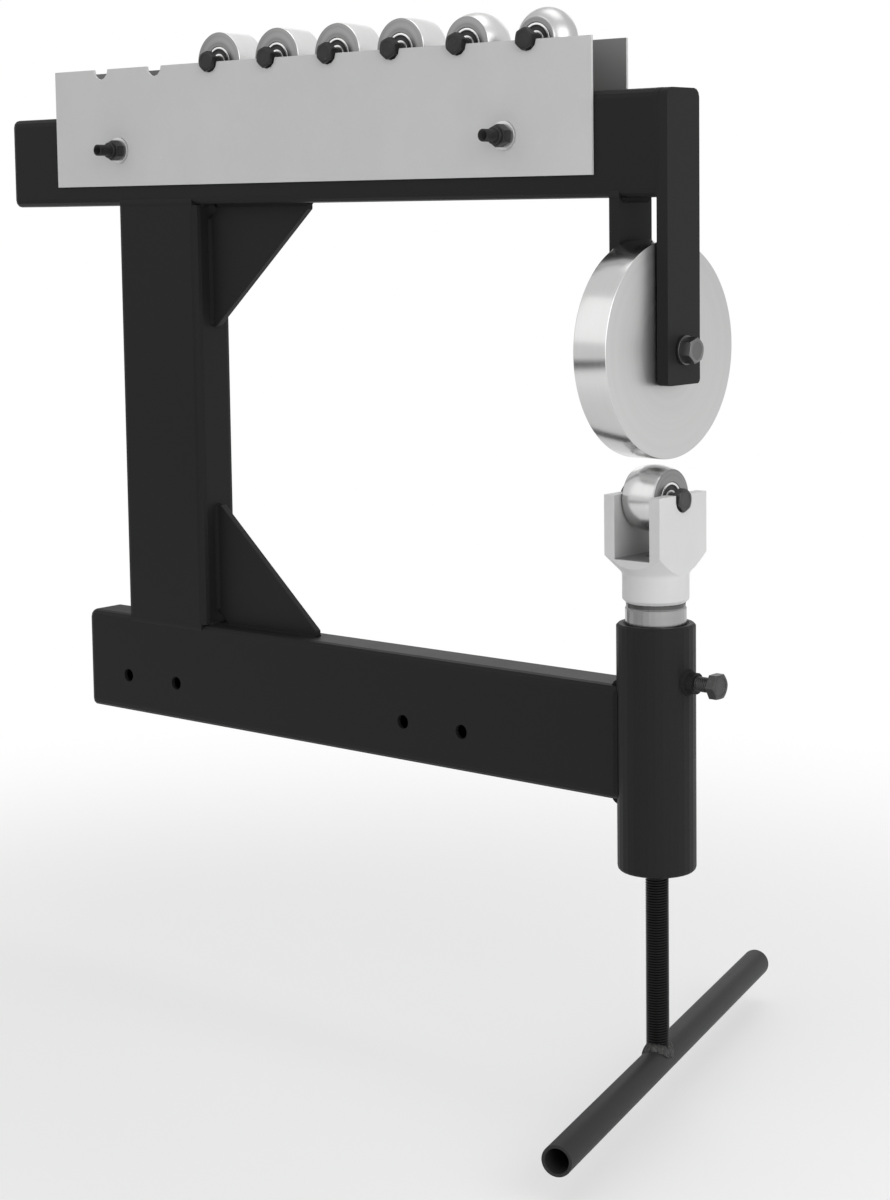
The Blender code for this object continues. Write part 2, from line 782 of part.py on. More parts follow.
def make_lead_screw(post_carrier):
    """The lead screw under the post and the tube handle welded across its foot."""
    carrier = body("lead_screw_axis", (0, 0, handle_z), post_carrier)
    tip = screw_tip_diameter / 2
    tip_top = post_bottom_z + screw_tip_length - seat_gap
    outline = [
        (0, tip_top),
        (tip, tip_top),
        (tip, screw_shoulder_z),
        (screw_radius, screw_shoulder_z),
        (screw_radius, handle_z),
        (0, handle_z),
    ]
    screw = add("lead_screw", turned_mesh("lead_screw", outline, bearing_steps, (0, 0, 0), along_z),
                screw_steel, carrier)
    direction = Vector((-math.sin(handle_turn), math.cos(handle_turn), 0))
    foot = Vector((0, 0, handle_z))
    reach = direction * (screw_diameter + overrun)
    saddle = rod_mesh("handle_saddle", handle_diameter / 2 + seat_gap, foot - reach, foot + reach,
                      bearing_steps)
    combine(screw, cutter("handle_saddle", saddle), "DIFFERENCE")
    outer = handle_diameter / 2
    bore = outer - handle_wall
    half = handle_length / 2
    lip = handle_wall / 4
    section = [
        (bore + lip, half),
        (outer - lip, half),
        (outer, half - lip),
        (outer, -half + lip),
        (outer - lip, -half),
        (bore + lip, -half),
        (bore, -half + lip),
        (bore, half - lip),
    ]
    middle = foot + direction * handle_shift
    mesh = turned_mesh("tee_handle", section, bearing_steps, middle, direction, ring=True)
    add("tee_handle", mesh, handle_paint, carrier)


def anvil_outline(crown):
    """Section of one anvil: a crowned tread, flat ends and a bearing pocket at each end."""
    half = anvil_width / 2
    pocket = anvil_bearing_diameter / 2
    floor = half - anvil_bearing_width - seat_gap
    web = anvil_web_bore / 2
    edge_radius = anvil_radius - crown
    tread_half = half - anvil_edge
    bend = (tread_half ** 2 + crown ** 2) / (2 * crown)
    spread = math.asin(tread_half / bend)
    steps = 1 if crown < low_crown else crown_steps
    outline = [(pocket, half), (edge_radius - anvil_edge, half)]
    for i in range(2 * steps + 1):
        angle = spread * (1 - i / steps)
        outline.append((anvil_radius - bend * (1 - math.cos(angle)), bend * math.sin(angle)))
    outline += [
        (edge_radius - anvil_edge, -half),
        (pocket, -half),
        (pocket, -floor),
        (web, -floor),
        (web, floor),
        (pocket, floor),
    ]
    return outline


def bearing_set_outline():
    """Section of an anvil's two bearings and the sleeve that joins their inner rings."""
    half = anvil_width / 2
    inner = anvil_bearing_bore / 2 + seat_gap
    outer = anvil_bearing_diameter / 2 - seat_gap
    race = inner + bearing_ring_wall
    foot = half - anvil_bearing_width
    upper = [
        (inner, half),
        (race, half),
        (outer, half - bearing_recess),
        (outer, foot),
        (race, foot),
    ]
    lower = [(r, -h) for r, h in reversed(upper)]
    return upper + lower


def pin_piece(name, centre, direction, carrier):
    """An anvil's pin: a hex bolt with its nut, made as one piece."""
    direction = Vector(direction)
    centre = Vector(centre)
    reach = pin_length / 2
    middle = reach - pin_head_height
    shank = rod_mesh(name, anvil_bearing_bore / 2, centre - direction * reach,
                     centre + direction * (middle + overrun), small_steps)
    pin = add(name, shank, black_steel, carrier)
    for label, near, far in (("head", middle, reach), ("nut", -reach + overrun, -middle)):
        mesh = rod_mesh(name + label, pin_head_radius, centre + direction * near, centre + direction * far,
                        hexagon_steps)
        combine(pin, cutter(name + "_" + label, mesh), "UNION")
    return pin


def make_working_anvil(post_carrier):
    """The crowned anvil in the yoke, with its bearings and pin, its axis along X."""
    centre = (0, 0, pin_z)
    pin_piece("working_pin", centre, along_x, post_carrier)
    carrier = body("working_anvil_axis", centre, post_carrier)
    mesh = turned_mesh("working_anvil", anvil_outline(working_crown), anvil_steps, centre, along_x, ring=True)
    add("working_anvil", mesh, anvil_steel, carrier)
    mesh = turned_mesh("working_bearings", bearing_set_outline(), bearing_steps, centre, along_x, ring=True)
    add("working_bearings", mesh, bearing_steel, carrier)


def make_rack():
    """Two notched plates bolted to the sides of the upper arm."""
    outline = [(rack_back_x, rack_top_z), (rack_back_x, rack_bottom_z)]
    outline += [(rack_front_x, rack_bottom_z), (rack_front_x, rack_top_z)]
    opening = math.degrees(math.asin(notch_lift / slot_radius))
    for x in notch_places:
        outline += arc((x, stored_pin_z), slot_radius, -opening, -180 + opening, 2 * corner_steps)
    for name, side in (("rack_plate_front", -1), ("rack_plate_rear", 1)):
        y = side * (rack_inner_y + rack_thickness / 2)
        holes = []
        for x in rack_bolt_places:
            radius = rack_bolt_diameter / 2 + running_gap
            holes.append(arc((x, rack_bolt_z), radius, 0, 360 - 360 / small_steps, small_steps - 1))
        mesh = plate_mesh(name, [outline] + holes, rack_thickness, (0, y, 0), along_x, along_z)
        add(name, mesh, rack_paint)

    radius = rack_bolt_diameter / 2
    washer_face = rack_outer_y + seat_gap
    nut_face = washer_face + rack_washer_thickness
    nut_end = nut_face + rack_nut_height
    for label, x in zip(("back", "front"), rack_bolt_places):
        tail = nut_end + rack_nut_collar + rack_bolt_tail
        name = "rack_bolt_" + label
        mesh = rod_mesh(name, radius, (x, -tail, rack_bolt_z), (x, nut_face + overrun, rack_bolt_z),
                        small_steps)
        bolt = add(name, mesh, black_steel)
        for part, width, near, far, steps in (
                ("washer", rack_washer_diameter / 2, washer_face, nut_face, bearing_steps),
                ("head", hexagon_radius(rack_nut_flats), nut_face - weld_distance, nut_end,
                 hexagon_steps)):
            mesh = rod_mesh(name + part, width, (x, near, rack_bolt_z), (x, far, rack_bolt_z), steps)
            combine(bolt, cutter(name + "_" + part, mesh), "UNION")
        name = "rack_nut_" + label
        mesh = rod_mesh(name, hexagon_radius(rack_nut_flats), (x, -nut_end, rack_bolt_z),
                        (x, -nut_face + weld_distance, rack_bolt_z), hexagon_steps)
        nut = add(name, mesh, black_steel)
        collar_end = nut_end + rack_nut_collar
        for part, width, near, far in (
                ("washer", rack_washer_diameter / 2, washer_face, nut_face),
                ("collar", rack_nut_flats / 2 - bearing_recess, nut_end - overrun, collar_end)):
            mesh = rod_mesh(name + part, width, (x, -far, rack_bolt_z), (x, -near, rack_bolt_z), bearing_steps)
            combine(nut, cutter(name + "_" + part, mesh), "UNION")
        through_hole(nut, radius + seat_gap, (x, -nut_face, rack_bolt_z), along_y, 2 * collar_end)


def make_stored_anvils():
    """Six spare anvils lying in the rack, numbered from the column end."""
    stored = len(stored_crowns)
    for i, crown in enumerate(stored_crowns):
        number = str(i + 1)
        x = notch_places[stored - 1 - i]
        pin_carrier = body("stored_pin_place_" + number, (x, 0, stored_pin_z))
        pin_piece("stored_pin_" + number, (x, 0, stored_pin_z), -along_y, pin_carrier)
        centre = (x, stored_shift, stored_pin_z)
        carrier = body("stored_anvil_axis_" + number, centre, pin_carrier)
        name = "stored_anvil_" + number
        mesh = turned_mesh(name, anvil_outline(crown), anvil_steps, centre, along_y, ring=True)
        add(name, mesh, anvil_steel, carrier)
        name = "stored_bearings_" + number
        mesh = turned_mesh(name, bearing_set_outline(), bearing_steps, centre, along_y, ring=True)
        add(name, mesh, bearing_steel, carrier)


clear_scene()
parts = collection("english_wheel")
cutters = collection("cutters")
machine = bpy.data.objects.new("working_point", None)
machine.location = (grip_reach, 0, -lower_underside_z)
parts.objects.link(machine)
body_places = {machine.name: Vector((0, 0, 0))}

black_paint = finish("frame_paint", (0.021, 0.021, 0.022), 0.0, 0.38)
black_plastic = finish("cap_plastic", (0.018, 0.018, 0.018), 0.0, 0.5)
black_steel = finish("blackened_steel", (0.035, 0.035, 0.037), 0.6, 0.42)
wheel_steel = finish("wheel_steel", (0.62, 0.62, 0.61), 1.0, 0.3)
anvil_steel = finish("anvil_steel", (0.56, 0.56, 0.55), 1.0, 0.26)
bearing_steel = finish("bearing_steel", (0.42, 0.42, 0.43), 1.0, 0.24)
bright_steel = finish("bright_steel", (0.5, 0.5, 0.5), 1.0, 0.28)
screw_steel = finish("screw_steel", (0.2, 0.2, 0.2), 0.9, 0.4)
yoke_paint = finish("yoke_paint", (0.68, 0.68, 0.67), 0.1, 0.45)
rack_paint = finish("rack_paint", (0.46, 0.46, 0.46), 0.2, 0.45)
handle_paint = finish("handle_paint", (0.07, 0.07, 0.072), 0.1, 0.45)
brass = finish("brass", (0.6, 0.42, 0.17), 1.0, 0.35)

make_frame()
make_fork()
make_upper_wheel()
make_housing()
make_clamp()
post_slide = make_post()
make_yoke(post_slide)
make_lead_screw(post_slide)
make_working_anvil(post_slide)
make_rack()
make_stored_anvils()
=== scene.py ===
import math
import random

import bmesh
import bpy
from mathutils import Matrix, Vector


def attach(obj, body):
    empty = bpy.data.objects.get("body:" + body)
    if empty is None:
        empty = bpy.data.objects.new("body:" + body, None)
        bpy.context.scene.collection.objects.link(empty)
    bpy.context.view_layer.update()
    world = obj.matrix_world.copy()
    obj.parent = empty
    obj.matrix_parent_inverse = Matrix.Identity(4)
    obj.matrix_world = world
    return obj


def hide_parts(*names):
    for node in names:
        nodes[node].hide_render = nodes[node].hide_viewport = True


# Looks of a bench english wheel, set around its plain solids. Lengths are in metres.
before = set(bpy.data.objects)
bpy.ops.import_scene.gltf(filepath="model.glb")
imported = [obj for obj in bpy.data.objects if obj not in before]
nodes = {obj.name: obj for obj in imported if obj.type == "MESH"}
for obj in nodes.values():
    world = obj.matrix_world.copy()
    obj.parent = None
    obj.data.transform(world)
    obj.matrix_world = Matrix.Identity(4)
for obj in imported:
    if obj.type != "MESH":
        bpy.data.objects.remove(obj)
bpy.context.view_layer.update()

along_x = Vector((1, 0, 0))
along_y = Vector((0, 1, 0))
along_z = Vector((0, 0, 1))

# Places are measured from the working point, the upper wheel's lowest point
working_point = Vector((0.385, 0, 0.321))


def at(x, y, z):
    return working_point + Vector((x, y, z))


# Frame of rectangular tube
side_y = 0.0254
tube_corner = 0.008
arm_underside_z = 0.238
arm_top_z = 0.3355
lower_top_z = -0.212
lower_underside_z = -0.321
column_back_x = -0.695
column_front_x = -0.573
gusset_length = 0.143
gusset_height = 0.129
gusset_relief = 0.014
gusset_side = 0.004
leg_inner_x = 0.0205
leg_outer_x = 0.0325

# Wheels and their bearings
wheel_centre = at(0, 0, 0.100)
wheel_radius = 0.100
wheel_half = 0.018
anvil_radius = 0.031
anvil_half = 0.018
working_centre = at(0, 0, -0.037)
working_crown = 0.0030
stored_crowns = [0.0002, 0.0004, 0.0006, 0.0009, 0.0042, 0.0095]
stored_places = [-0.5437 + 0.0841 * i for i in range(6)]
stored_z = 0.3857
stored_shift = 0.0035

# Post, housing and screws
housing_radius = 0.0369
clamp_z = -0.205
screw_top_z = -0.3244
handle_z = -0.5705
handle_radius = 0.014
handle_half = 0.2875
handle_shift = 0.028
handle_turn = math.radians(16)
screw_pitch = 0.0025

# The channel between the yoke's ears
channel_half = 0.0195
channel_floor_z = -0.0905

# Points nearer to each other than this are one
merge_distance = 0.000002

# Edges sharper than this, in degrees, stay crisp: on machined pieces, and on welds
crisp_angle = 32
weld_crisp_angle = 70


# Shader trees: an output of a node is a Signal, and arithmetic on signals adds the nodes

class Signal:
    """One output of a shader node. Sums, products and powers of it add Math nodes."""

    def __init__(self, tree, socket):
        self.tree = tree
        self.socket = socket

    def other(self, name):
        return Signal(self.tree, self.socket.node.outputs[name])

    def maths(self, operation, first, second):
        return self.tree.node("ShaderNodeMath", {"operation": operation}, {0: first, 1: second})

    def __add__(self, value):
        return self.maths("ADD", self, value)

    def __sub__(self, value):
        return self.maths("SUBTRACT", self, value)

    def __mul__(self, value):
        return self.maths("MULTIPLY", self, value)

    def __pow__(self, value):
        return self.maths("POWER", self, value)

    def __abs__(self):
        return self.maths("ABSOLUTE", self, 0)

    __radd__ = __add__


class Tree:
    """The nodes of one material or of the world."""

    def __init__(self, owner):
        owner.use_nodes = True
        self.nodes = owner.node_tree.nodes
        self.links = owner.node_tree.links

    def feed(self, socket, value):
        if isinstance(value, Signal):
            self.links.new(value.socket, socket)
        else:
            socket.default_value = value

    def node(self, kind, settings, sockets, output=0):
        """Add a node: its settings, then its sockets' values or links. Gives one of its outputs."""
        made = self.nodes.new(kind)
        for key, value in settings.items():
            if key == "stops":
                set_stops(made.color_ramp, value)
            else:
                setattr(made, key, value)
        for key, value in sockets.items():
            self.feed(made.inputs[key], value)
        return Signal(self, made.outputs[output])

    def maths_least(self, first, second):
        return self.node("ShaderNodeMath", {"operation": "MINIMUM"}, {0: first, 1: second})

    def place(self):
        return self.node("ShaderNodeTexCoord", {}, {}, "Object")

    def split(self, vector):
        x = self.node("ShaderNodeSeparateXYZ", {}, {0: vector}, "X")
        return x, x.other("Y"), x.other("Z")

    def cloud(self, size, detail, vector=None):
        """Noise of a given grain size in metres, from 0 to 1, with its middle at a half."""
        vector = vector or self.place()
        return self.node("ShaderNodeTexNoise", {}, {"Vector": vector, "Scale": 1 / size, "Detail": detail})

    def ease(self, value, low, high, start=0.0, end=1.0):
        """Carry a value from low..high to start..end with soft ends."""
        return self.node("ShaderNodeMapRange", {"interpolation_type": "SMOOTHSTEP"},
                         {"Value": value, "From Min": low, "From Max": high,
                          "To Min": start, "To Max": end})

    def mix(self, factor, first, second):
        return self.node("ShaderNodeMix", {"data_type": "RGBA"}, {0: factor, 6: first, 7: second}, 2)

    def bump(self, height, depth):
        """A normal from a height of 0 to 1 that stands for a depth in metres."""
        return self.node("ShaderNodeBump", {}, {"Height": height, "Distance": depth})


def set_stops(ramp, stops):
    while len(ramp.elements) > 1:
        ramp.elements.remove(ramp.elements[-1])
    for i, (position, value) in enumerate(stops):
        element = ramp.elements[0] if i == 0 else ramp.elements.new(position)
        element.position = position
        element.color = value


def grey(level, warmth=0.0):
    return (level * (1 + warmth), level, level * (1 - warmth), 1)


class Finish(Tree):
    """A material: its tree and its Principled shader."""

    def __init__(self, name):
        self.material = bpy.data.materials.new(name)
        super().__init__(self.material)
        self.shader = self.nodes["Principled BSDF"]

    def give(self, **inputs):
        for key, value in inputs.items():
            self.feed(self.shader.inputs[key.replace("_", " ").title().replace("Ior", "IOR")], value)
        return self.material


def painted(name, level, roughness, gloss, peel=0.00002, shade=None):
    """Sprayed paint: orange peel, soft unevenness, a little dust and, where asked, painted shade."""
    made = Finish(name)
    broad = made.cloud(0.060, 3)
    fine = made.cloud(0.0016, 2)
    dust = made.ease(made.cloud(0.0045, 5), 0.56, 0.78)
    colour = made.mix(broad, grey(level * 0.95), grey(level * 1.06))
    colour = made.mix(dust * 0.08, colour, grey(min(1, level * 1.3 + 0.01)))
    # Where a shade mask is given, the paint is darkened there: painted shade
    if shade:
        colour = made.mix(shade(made), colour, grey(level * 0.30, 0.01))
    sheen = roughness + (broad - 0.5) * 0.10 + dust * 0.08
    return made.give(base_color=colour, roughness=sheen, specular_ior_level=gloss,
                     normal=made.bump(fine, peel))


def axial(tree, centre, axis):
    """How far a point lies from an axis, and how far along it."""
    offset = tree.node("ShaderNodeVectorMath", {"operation": "SUBTRACT"}, {0: tree.place(), 1: centre})
    parts = tree.split(offset)
    index = [abs(c) for c in axis].index(1)
    first, second = [part for i, part in enumerate(parts) if i != index]
    reach = (first * first + second * second) ** 0.5
    return reach, parts[index]


def lathe_lines(tree, reach, along, pitch):
    """Fine tool marks: rings on a flat face and turns along a tread."""
    vector = tree.node("ShaderNodeCombineXYZ", {}, {0: reach, 1: along, 2: 0.0})
    fine = tree.cloud(pitch, 2, vector)
    coarse = tree.cloud(pitch * 7, 1, vector)
    return fine, coarse


def turned_steel(name, centre, axis, level, roughness, pitch=0.0006, face=None, face_roughness=None,
                 half=None, rings=0.03, band=None):
    """Steel from a lathe. Face, its roughness and half are for ends of another cut, band for a dark ring of
    painted shade.
    """
    line_depth = 0.0000004
    made = Finish(name)
    reach, along = axial(made, centre, axis)
    fine, coarse = lathe_lines(made, reach, along, pitch)
    smear = made.cloud(0.030, 3)
    lines = fine * 0.6 + coarse * 0.4
    shade = lines * 0.6 + smear * 0.4
    colour = made.mix(shade, grey(level * 0.90, 0.004), grey(level * 1.08, 0.002))
    sheen = roughness + (lines - 0.5) * 0.08 + (smear - 0.5) * 0.04
    if face:
        end = made.ease(abs(along), half - 0.0006, half - 0.0001)
        cut = made.mix(coarse, grey(face * (1 - rings), 0.004), grey(face * (1 + rings), 0.002))
        colour = made.mix(end, colour, cut)
        sheen = sheen + end * (face_roughness - roughness)
    # A dark ring between two heights along the axis: painted shade
    if band:
        colour = made.mix(made.ease(along, *band), colour, grey(level * 0.30, 0.01))
    return made.give(base_color=colour, roughness=sheen, metallic=1.0, normal=made.bump(lines, line_depth))


def black_oxide(name, level, roughness):
    """Chemically blackened steel: dark and slightly metallic, paler where it was handled."""
    made = Finish(name)
    blotch = made.cloud(0.009, 4)
    grain = made.cloud(0.0007, 3)
    worn = made.ease(made.cloud(0.005, 5), 0.60, 0.82)
    colour = made.mix(blotch, grey(level * 0.7), grey(level * 1.4, 0.01))
    colour = made.mix(worn * 0.35, colour, grey(0.16, 0.02))
    sheen = roughness + (blotch - 0.5) * 0.16 + (grain - 0.5) * 0.08
    return made.give(base_color=colour, roughness=sheen, metallic=0.75, normal=made.bump(grain, 0.000008))


def cast_weld(name, level, metallic, roughness):
    """Weld metal: lumpy, its colour lighter where the lumps rise and darker where they fall."""
    made = Finish(name)
    lump = made.cloud(0.0022, 4)
    colour = made.mix(made.ease(lump, 0.4, 0.75), grey(level * 0.6, 0.03), grey(level * 1.7, 0.02))
    return made.give(base_color=colour, roughness=roughness + (lump - 0.5) * 0.3, metallic=metallic,
                     normal=made.bump(lump, 0.00012))


def moulded_plastic(name, level, roughness):
    made = Finish(name)
    grain = made.cloud(0.0009, 3)
    broad = made.cloud(0.02, 2)
    colour = made.mix(broad, grey(level * 0.85), grey(level * 1.2))
    return made.give(base_color=colour, roughness=roughness + (grain - 0.5) * 0.12,
                     normal=made.bump(grain, 0.000025))


def seal_rubber(name, centre, axis):
    """A bearing's seal: dark, matt and faintly ringed."""
    made = Finish(name)
    reach, along = axial(made, centre, axis)
    fine, coarse = lathe_lines(made, reach, along, 0.0004)
    colour = made.mix(coarse, grey(0.012), grey(0.026))
    return made.give(base_color=colour, roughness=0.5 + (fine - 0.5) * 0.2, normal=made.bump(fine, 0.00001))


def channel_painted_shade(made):
    """Painted shade in the channel between the yoke's ears: near one on its walls and floor."""
    x, y, z = made.split(made.place())
    floor_z = working_point.z + channel_floor_z
    inside = made.ease(abs(x - working_point.x), channel_half - 0.00005, channel_half + 0.00005, 1.0, 0.0)
    return inside * made.ease(z, floor_z - 0.001, floor_z) * 0.95


def rack_gap_painted_shade(made):
    """Painted shade on the rack's inner faces, where the two plates shade each other: near one there."""
    x, y, z = made.split(made.place())
    return made.ease(abs(y), side_y + 0.0004, side_y + 0.0008, 1.0, 0.0) * 0.85


# Meshes

def turn_to(direction):
    return Vector(direction).to_track_quat("Z", "Y").to_matrix().to_4x4()


def ring_section(inner, outer, start, end):
    """The four corners of a ring's section, or of a rod's where the inner radius is zero."""
    return [(inner, start), (outer, start), (outer, end), (inner, end)]


def welded(points, faces):
    """A bmesh of points and faces with its doubles merged."""
    made = bmesh.new()
    verts = [made.verts.new(p) for p in points]
    for face in faces:
        made.faces.new([verts[i] for i in face])
    bmesh.ops.remove_doubles(made, verts=made.verts, dist=merge_distance)
    return made


def finished_mesh(name, made):
    """A mesh of a bmesh, which is freed."""
    mesh = bpy.data.meshes.new(name)
    made.to_mesh(mesh)
    made.free()
    return mesh


def closed_mesh(name, points, faces):
    """A mesh of points and faces with its faces turned outwards."""
    made = welded(points, faces)
    bmesh.ops.recalc_face_normals(made, faces=made.faces)
    return finished_mesh(name, made)


def swept(name, rings, centre, axis, closed):
    """Skin a run of rings, each a list of (radius, height) by angle, about an axis."""
    place = Matrix.Translation(centre) @ turn_to(axis)
    steps = len(rings[0])
    points = []
    for ring in rings:
        for i, (radius, height) in enumerate(ring):
            angle = math.tau * i / steps
            points.append(place @ Vector((radius * math.cos(angle), radius * math.sin(angle), height)))
    faces = []
    last = len(rings) if closed else len(rings) - 1
    for k in range(last):
        here = k * steps
        there = (k + 1) % len(rings) * steps
        for i in range(steps):
            j = (i + 1) % steps
            faces.append((here + i, here + j, there + j, there + i))
    return closed_mesh(name, points, faces)


def eased(points, radius, steps=3, closed=True):
    """Round the corners of an outline. Radius is one value, or one for each point."""
    count = len(points)
    radii = radius if isinstance(radius, list) else [radius] * count
    outline = []
    for i, (point, size) in enumerate(zip(points, radii)):
        if size == 0 or (not closed and i in (0, count - 1)):
            outline.append(point)
            continue
        here = Vector(point)
        before = Vector(points[i - 1]) - here
        after = Vector(points[(i + 1) % count]) - here
        reach = min(size, before.length * 0.45, after.length * 0.45)
        start = here + before.normalized() * reach
        end = here + after.normalized() * reach
        for k in range(steps + 1):
            t = k / steps
            outline.append(tuple(start * (1 - t) ** 2 + here * 2 * t * (1 - t) + end * t ** 2))
    return outline


def turned(name, section, centre, axis, steps=96, closed=True):
    """Turn a section of (radius, height) points. An open one starts and ends on the axis."""
    return swept(name, [[point] * steps for point in section], centre, axis, closed)


def hexagon(name, flats, foot, top, centre, axis, hole=0.0, turn=0.0, both=False, dish=0.0):
    """A hexagon head or nut between two heights, its corners cut back by a cone."""
    steps = 72
    face = flats * 0.475
    slope = math.tan(math.radians(30))

    def reach(i):
        angle = (math.tau * i / steps + turn + math.pi / 6) % (math.pi / 3) - math.pi / 6
        return flats / 2 / math.cos(angle)

    def even(radius, height):
        return [(radius, height)] * steps

    cut = [(reach(i) - face) * slope for i in range(steps)]
    rings = [even(face, foot)]
    if both:
        rings.append([(reach(i), foot + cut[i]) for i in range(steps)])
    else:
        rings.append([(reach(i), foot) for i in range(steps)])
    rings.append([(reach(i), top - cut[i]) for i in range(steps)])
    rings.append(even(face, top))
    if hole:
        rings += [even(hole * 1.08, top), even(hole, top - hole * 0.08)]
        rings += [even(hole, foot + hole * 0.08), even(hole * 1.08, foot)]
        return swept(name, rings, centre, axis, True)
    if dish:
        rings += [even(face * 0.80, top), even(face * 0.77, top - dish)]
    rings = [even(0, foot)] + rings + [even(0, rings[-1][0][1])]
    return swept(name, rings, centre, axis, False)


def threaded(name, radius, pitch, length, centre, axis, steps=24):
    """A screwed rod: one helical groove all along, with flat ends."""
    depth_share = 0.6
    place = Matrix.Translation(centre) @ turn_to(axis)
    root = radius - pitch * depth_share
    profile = [(root, 0.0), (root, 0.12), (radius, 0.48), (radius, 0.64)]
    turns = math.ceil(length / pitch) + 1
    total = turns * steps
    points = []
    for k in range(-steps, total + 1):
        angle = math.tau * k / steps
        for reach, share in profile:
            height = min(max((k / steps + share) * pitch, 0), length)
            points.append(place @ Vector((reach * math.cos(angle), reach * math.sin(angle), height)))
    width = len(profile)
    faces = []
    rows = total + steps
    for k in range(rows):
        for j in range(width):
            a = k * width + j
            b = a + width
            if j < width - 1:
                faces.append((a, b, b + 1, a + 1))
            elif k + steps + 1 <= rows:
                c = (k + steps) * width
                faces.append((a, b, c + width, c))
    made = welded(points, faces)
    flat = place.inverted()
    on_end = 0.00001
    for height in (0, length):
        rim = [e for e in made.edges if e.is_boundary
               and all(abs((flat @ v.co).z - height) < on_end for v in e.verts)]
        if rim:
            bmesh.ops.holes_fill(made, edges=rim, sides=0)
    bmesh.ops.recalc_face_normals(made, faces=made.faces)
    return finished_mesh(name, made)


def joined(name, meshes):
    """One mesh of several closed shells."""
    made = bmesh.new()
    for mesh in meshes:
        made.from_mesh(mesh)
        bpy.data.meshes.remove(mesh)
    return finished_mesh(name, made)


def added(name, data):
    """A new object in the scene."""
    made = bpy.data.objects.new(name, data)
    bpy.context.scene.collection.objects.link(made)
    return made


def put(name, mesh, material, carrier, slot, *stands_for, sharp=crisp_angle):
    """Hang a finished piece on a body, under its material. Its slot is not used."""
    piece = added(name, mesh)
    mesh.materials.clear()
    mesh.materials.append(material)
    mesh.shade_smooth()
    mesh.set_sharp_from_angle(angle=math.radians(sharp))
    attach(piece, carrier)
    if stands_for:
        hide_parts(*stands_for)
    return piece


def dress(material, *names):
    """Give CAD nodes a finish, shape and place as they are."""
    for name in names:
        for slot in nodes[name].material_slots:
            slot.material = material


def whole_faces(mesh, flat_within):
    """A bmesh of a mesh, its doubles merged and what is flat within an angle in degrees made one face."""
    made = bmesh.new()
    made.from_mesh(mesh)
    bmesh.ops.remove_doubles(made, verts=made.verts, dist=merge_distance)
    bmesh.ops.dissolve_limit(made, angle_limit=math.radians(flat_within), verts=made.verts,
                             edges=made.edges)
    return made


def soften(piece, width, segments=2):
    """Break a piece's sharp edges."""
    step = piece.modifiers.new("edge", "BEVEL")
    step.width = width
    step.segments = segments
    step.limit_method = "ANGLE"
    step.angle_limit = math.radians(crisp_angle)
    step.harden_normals = True


def softened(node, width, material, carrier, slot):
    """A CAD node again, with its edges broken as a file or a paint coat leaves them."""
    mesh = finished_mesh(node, whole_faces(nodes[node].data, 0.6))
    soften(put(node + "_finished", mesh, material, carrier, slot, node), width)


def bead(name, path, size, seed, fullness, rough, ripple=0.0028, wave=0.09):
    """A fillet weld along a path of (point, one side, other side), with the puddle's ripples."""
    dice = random.Random(seed)
    points = []
    width = 7
    travelled = 0.0
    for k, (point, first, second) in enumerate(path):
        if k:
            travelled += (Vector(point) - Vector(path[k - 1][0])).length
        phase = travelled / ripple
        swell = 1 + wave * math.sin(math.tau * phase) + rough * (dice.random() - 0.5)
        end_taper = min(1, 0.45 + 0.55 * min(k, len(path) - 1 - k) / 3)
        first = Vector(first).normalized()
        second = Vector(second).normalized()
        corner = Vector(point) - (first + second) * size * 0.15
        points.append(corner)
        for j in range(width - 1):
            t = j / (width - 2)
            angle = t * math.pi / 2
            lean = first * math.cos(angle) + second * math.sin(angle)
            flat = first * (1 - t) + second * t
            arm = (flat * (1 - fullness) + lean * fullness) * size * swell * end_taper
            points.append(Vector(point) + arm)
    faces = []
    rows = len(path)
    for k in range(rows - 1):
        for j in range(width):
            a = k * width + j
            b = k * width + (j + 1) % width
            faces.append((a, b, b + width, a + width))
    faces.append(tuple(range(width)))
    faces.append(tuple((rows - 1) * width + j for j in range(width)))
    return closed_mesh(name, points, faces)


def straight(start, end, first, second):
    """A straight weld path between two points."""
    spacing = 0.0007
    count = max(8, round((end - start).length / spacing))
    return [(start.lerp(end, i / count), first, second) for i in range(count + 1)]


def rounded_rectangle(width, height, radius):
    steps = 8
    a = width / 2 - radius
    b = height / 2 - radius
    outline = []
    for cx, cy, turn in ((a, b, 0), (-a, b, 90), (-a, -b, 180), (a, -b, 270)):
        for k in range(steps + 1):
            angle = math.radians(turn + 90 * k / steps)
            outline.append((cx + radius * math.cos(angle), cy + radius * math.sin(angle)))
    return outline


def hoop(name, inner, outer, start_x, end_x, centre_z):
    """A band about the X direction between two outlines of (y, z)."""
    points = []
    for x, outline in ((start_x, inner), (start_x, outer), (end_x, outer), (end_x, inner)):
        points += [at(x, y, centre_z + z) for y, z in outline]
    count = len(inner)
    faces = []
    for k in range(4):
        for i in range(count):
            j = (i + 1) % count
            a = k * count
            b = (k + 1) % 4 * count
            faces.append((a + i, a + j, b + j, b + i))
    return closed_mesh(name, points, faces)


def prism(name, outline, start, end):
    """A bar: an outline of (y, z) points carried along X from start to end."""
    points = [at(start, y, z) for y, z in outline] + [at(end, y, z) for y, z in outline]
    count = len(outline)
    faces = [(i, (i + 1) % count, count + (i + 1) % count, count + i) for i in range(count)]
    faces += [tuple(range(count)), tuple(range(count, 2 * count))]
    return closed_mesh(name, points, faces)


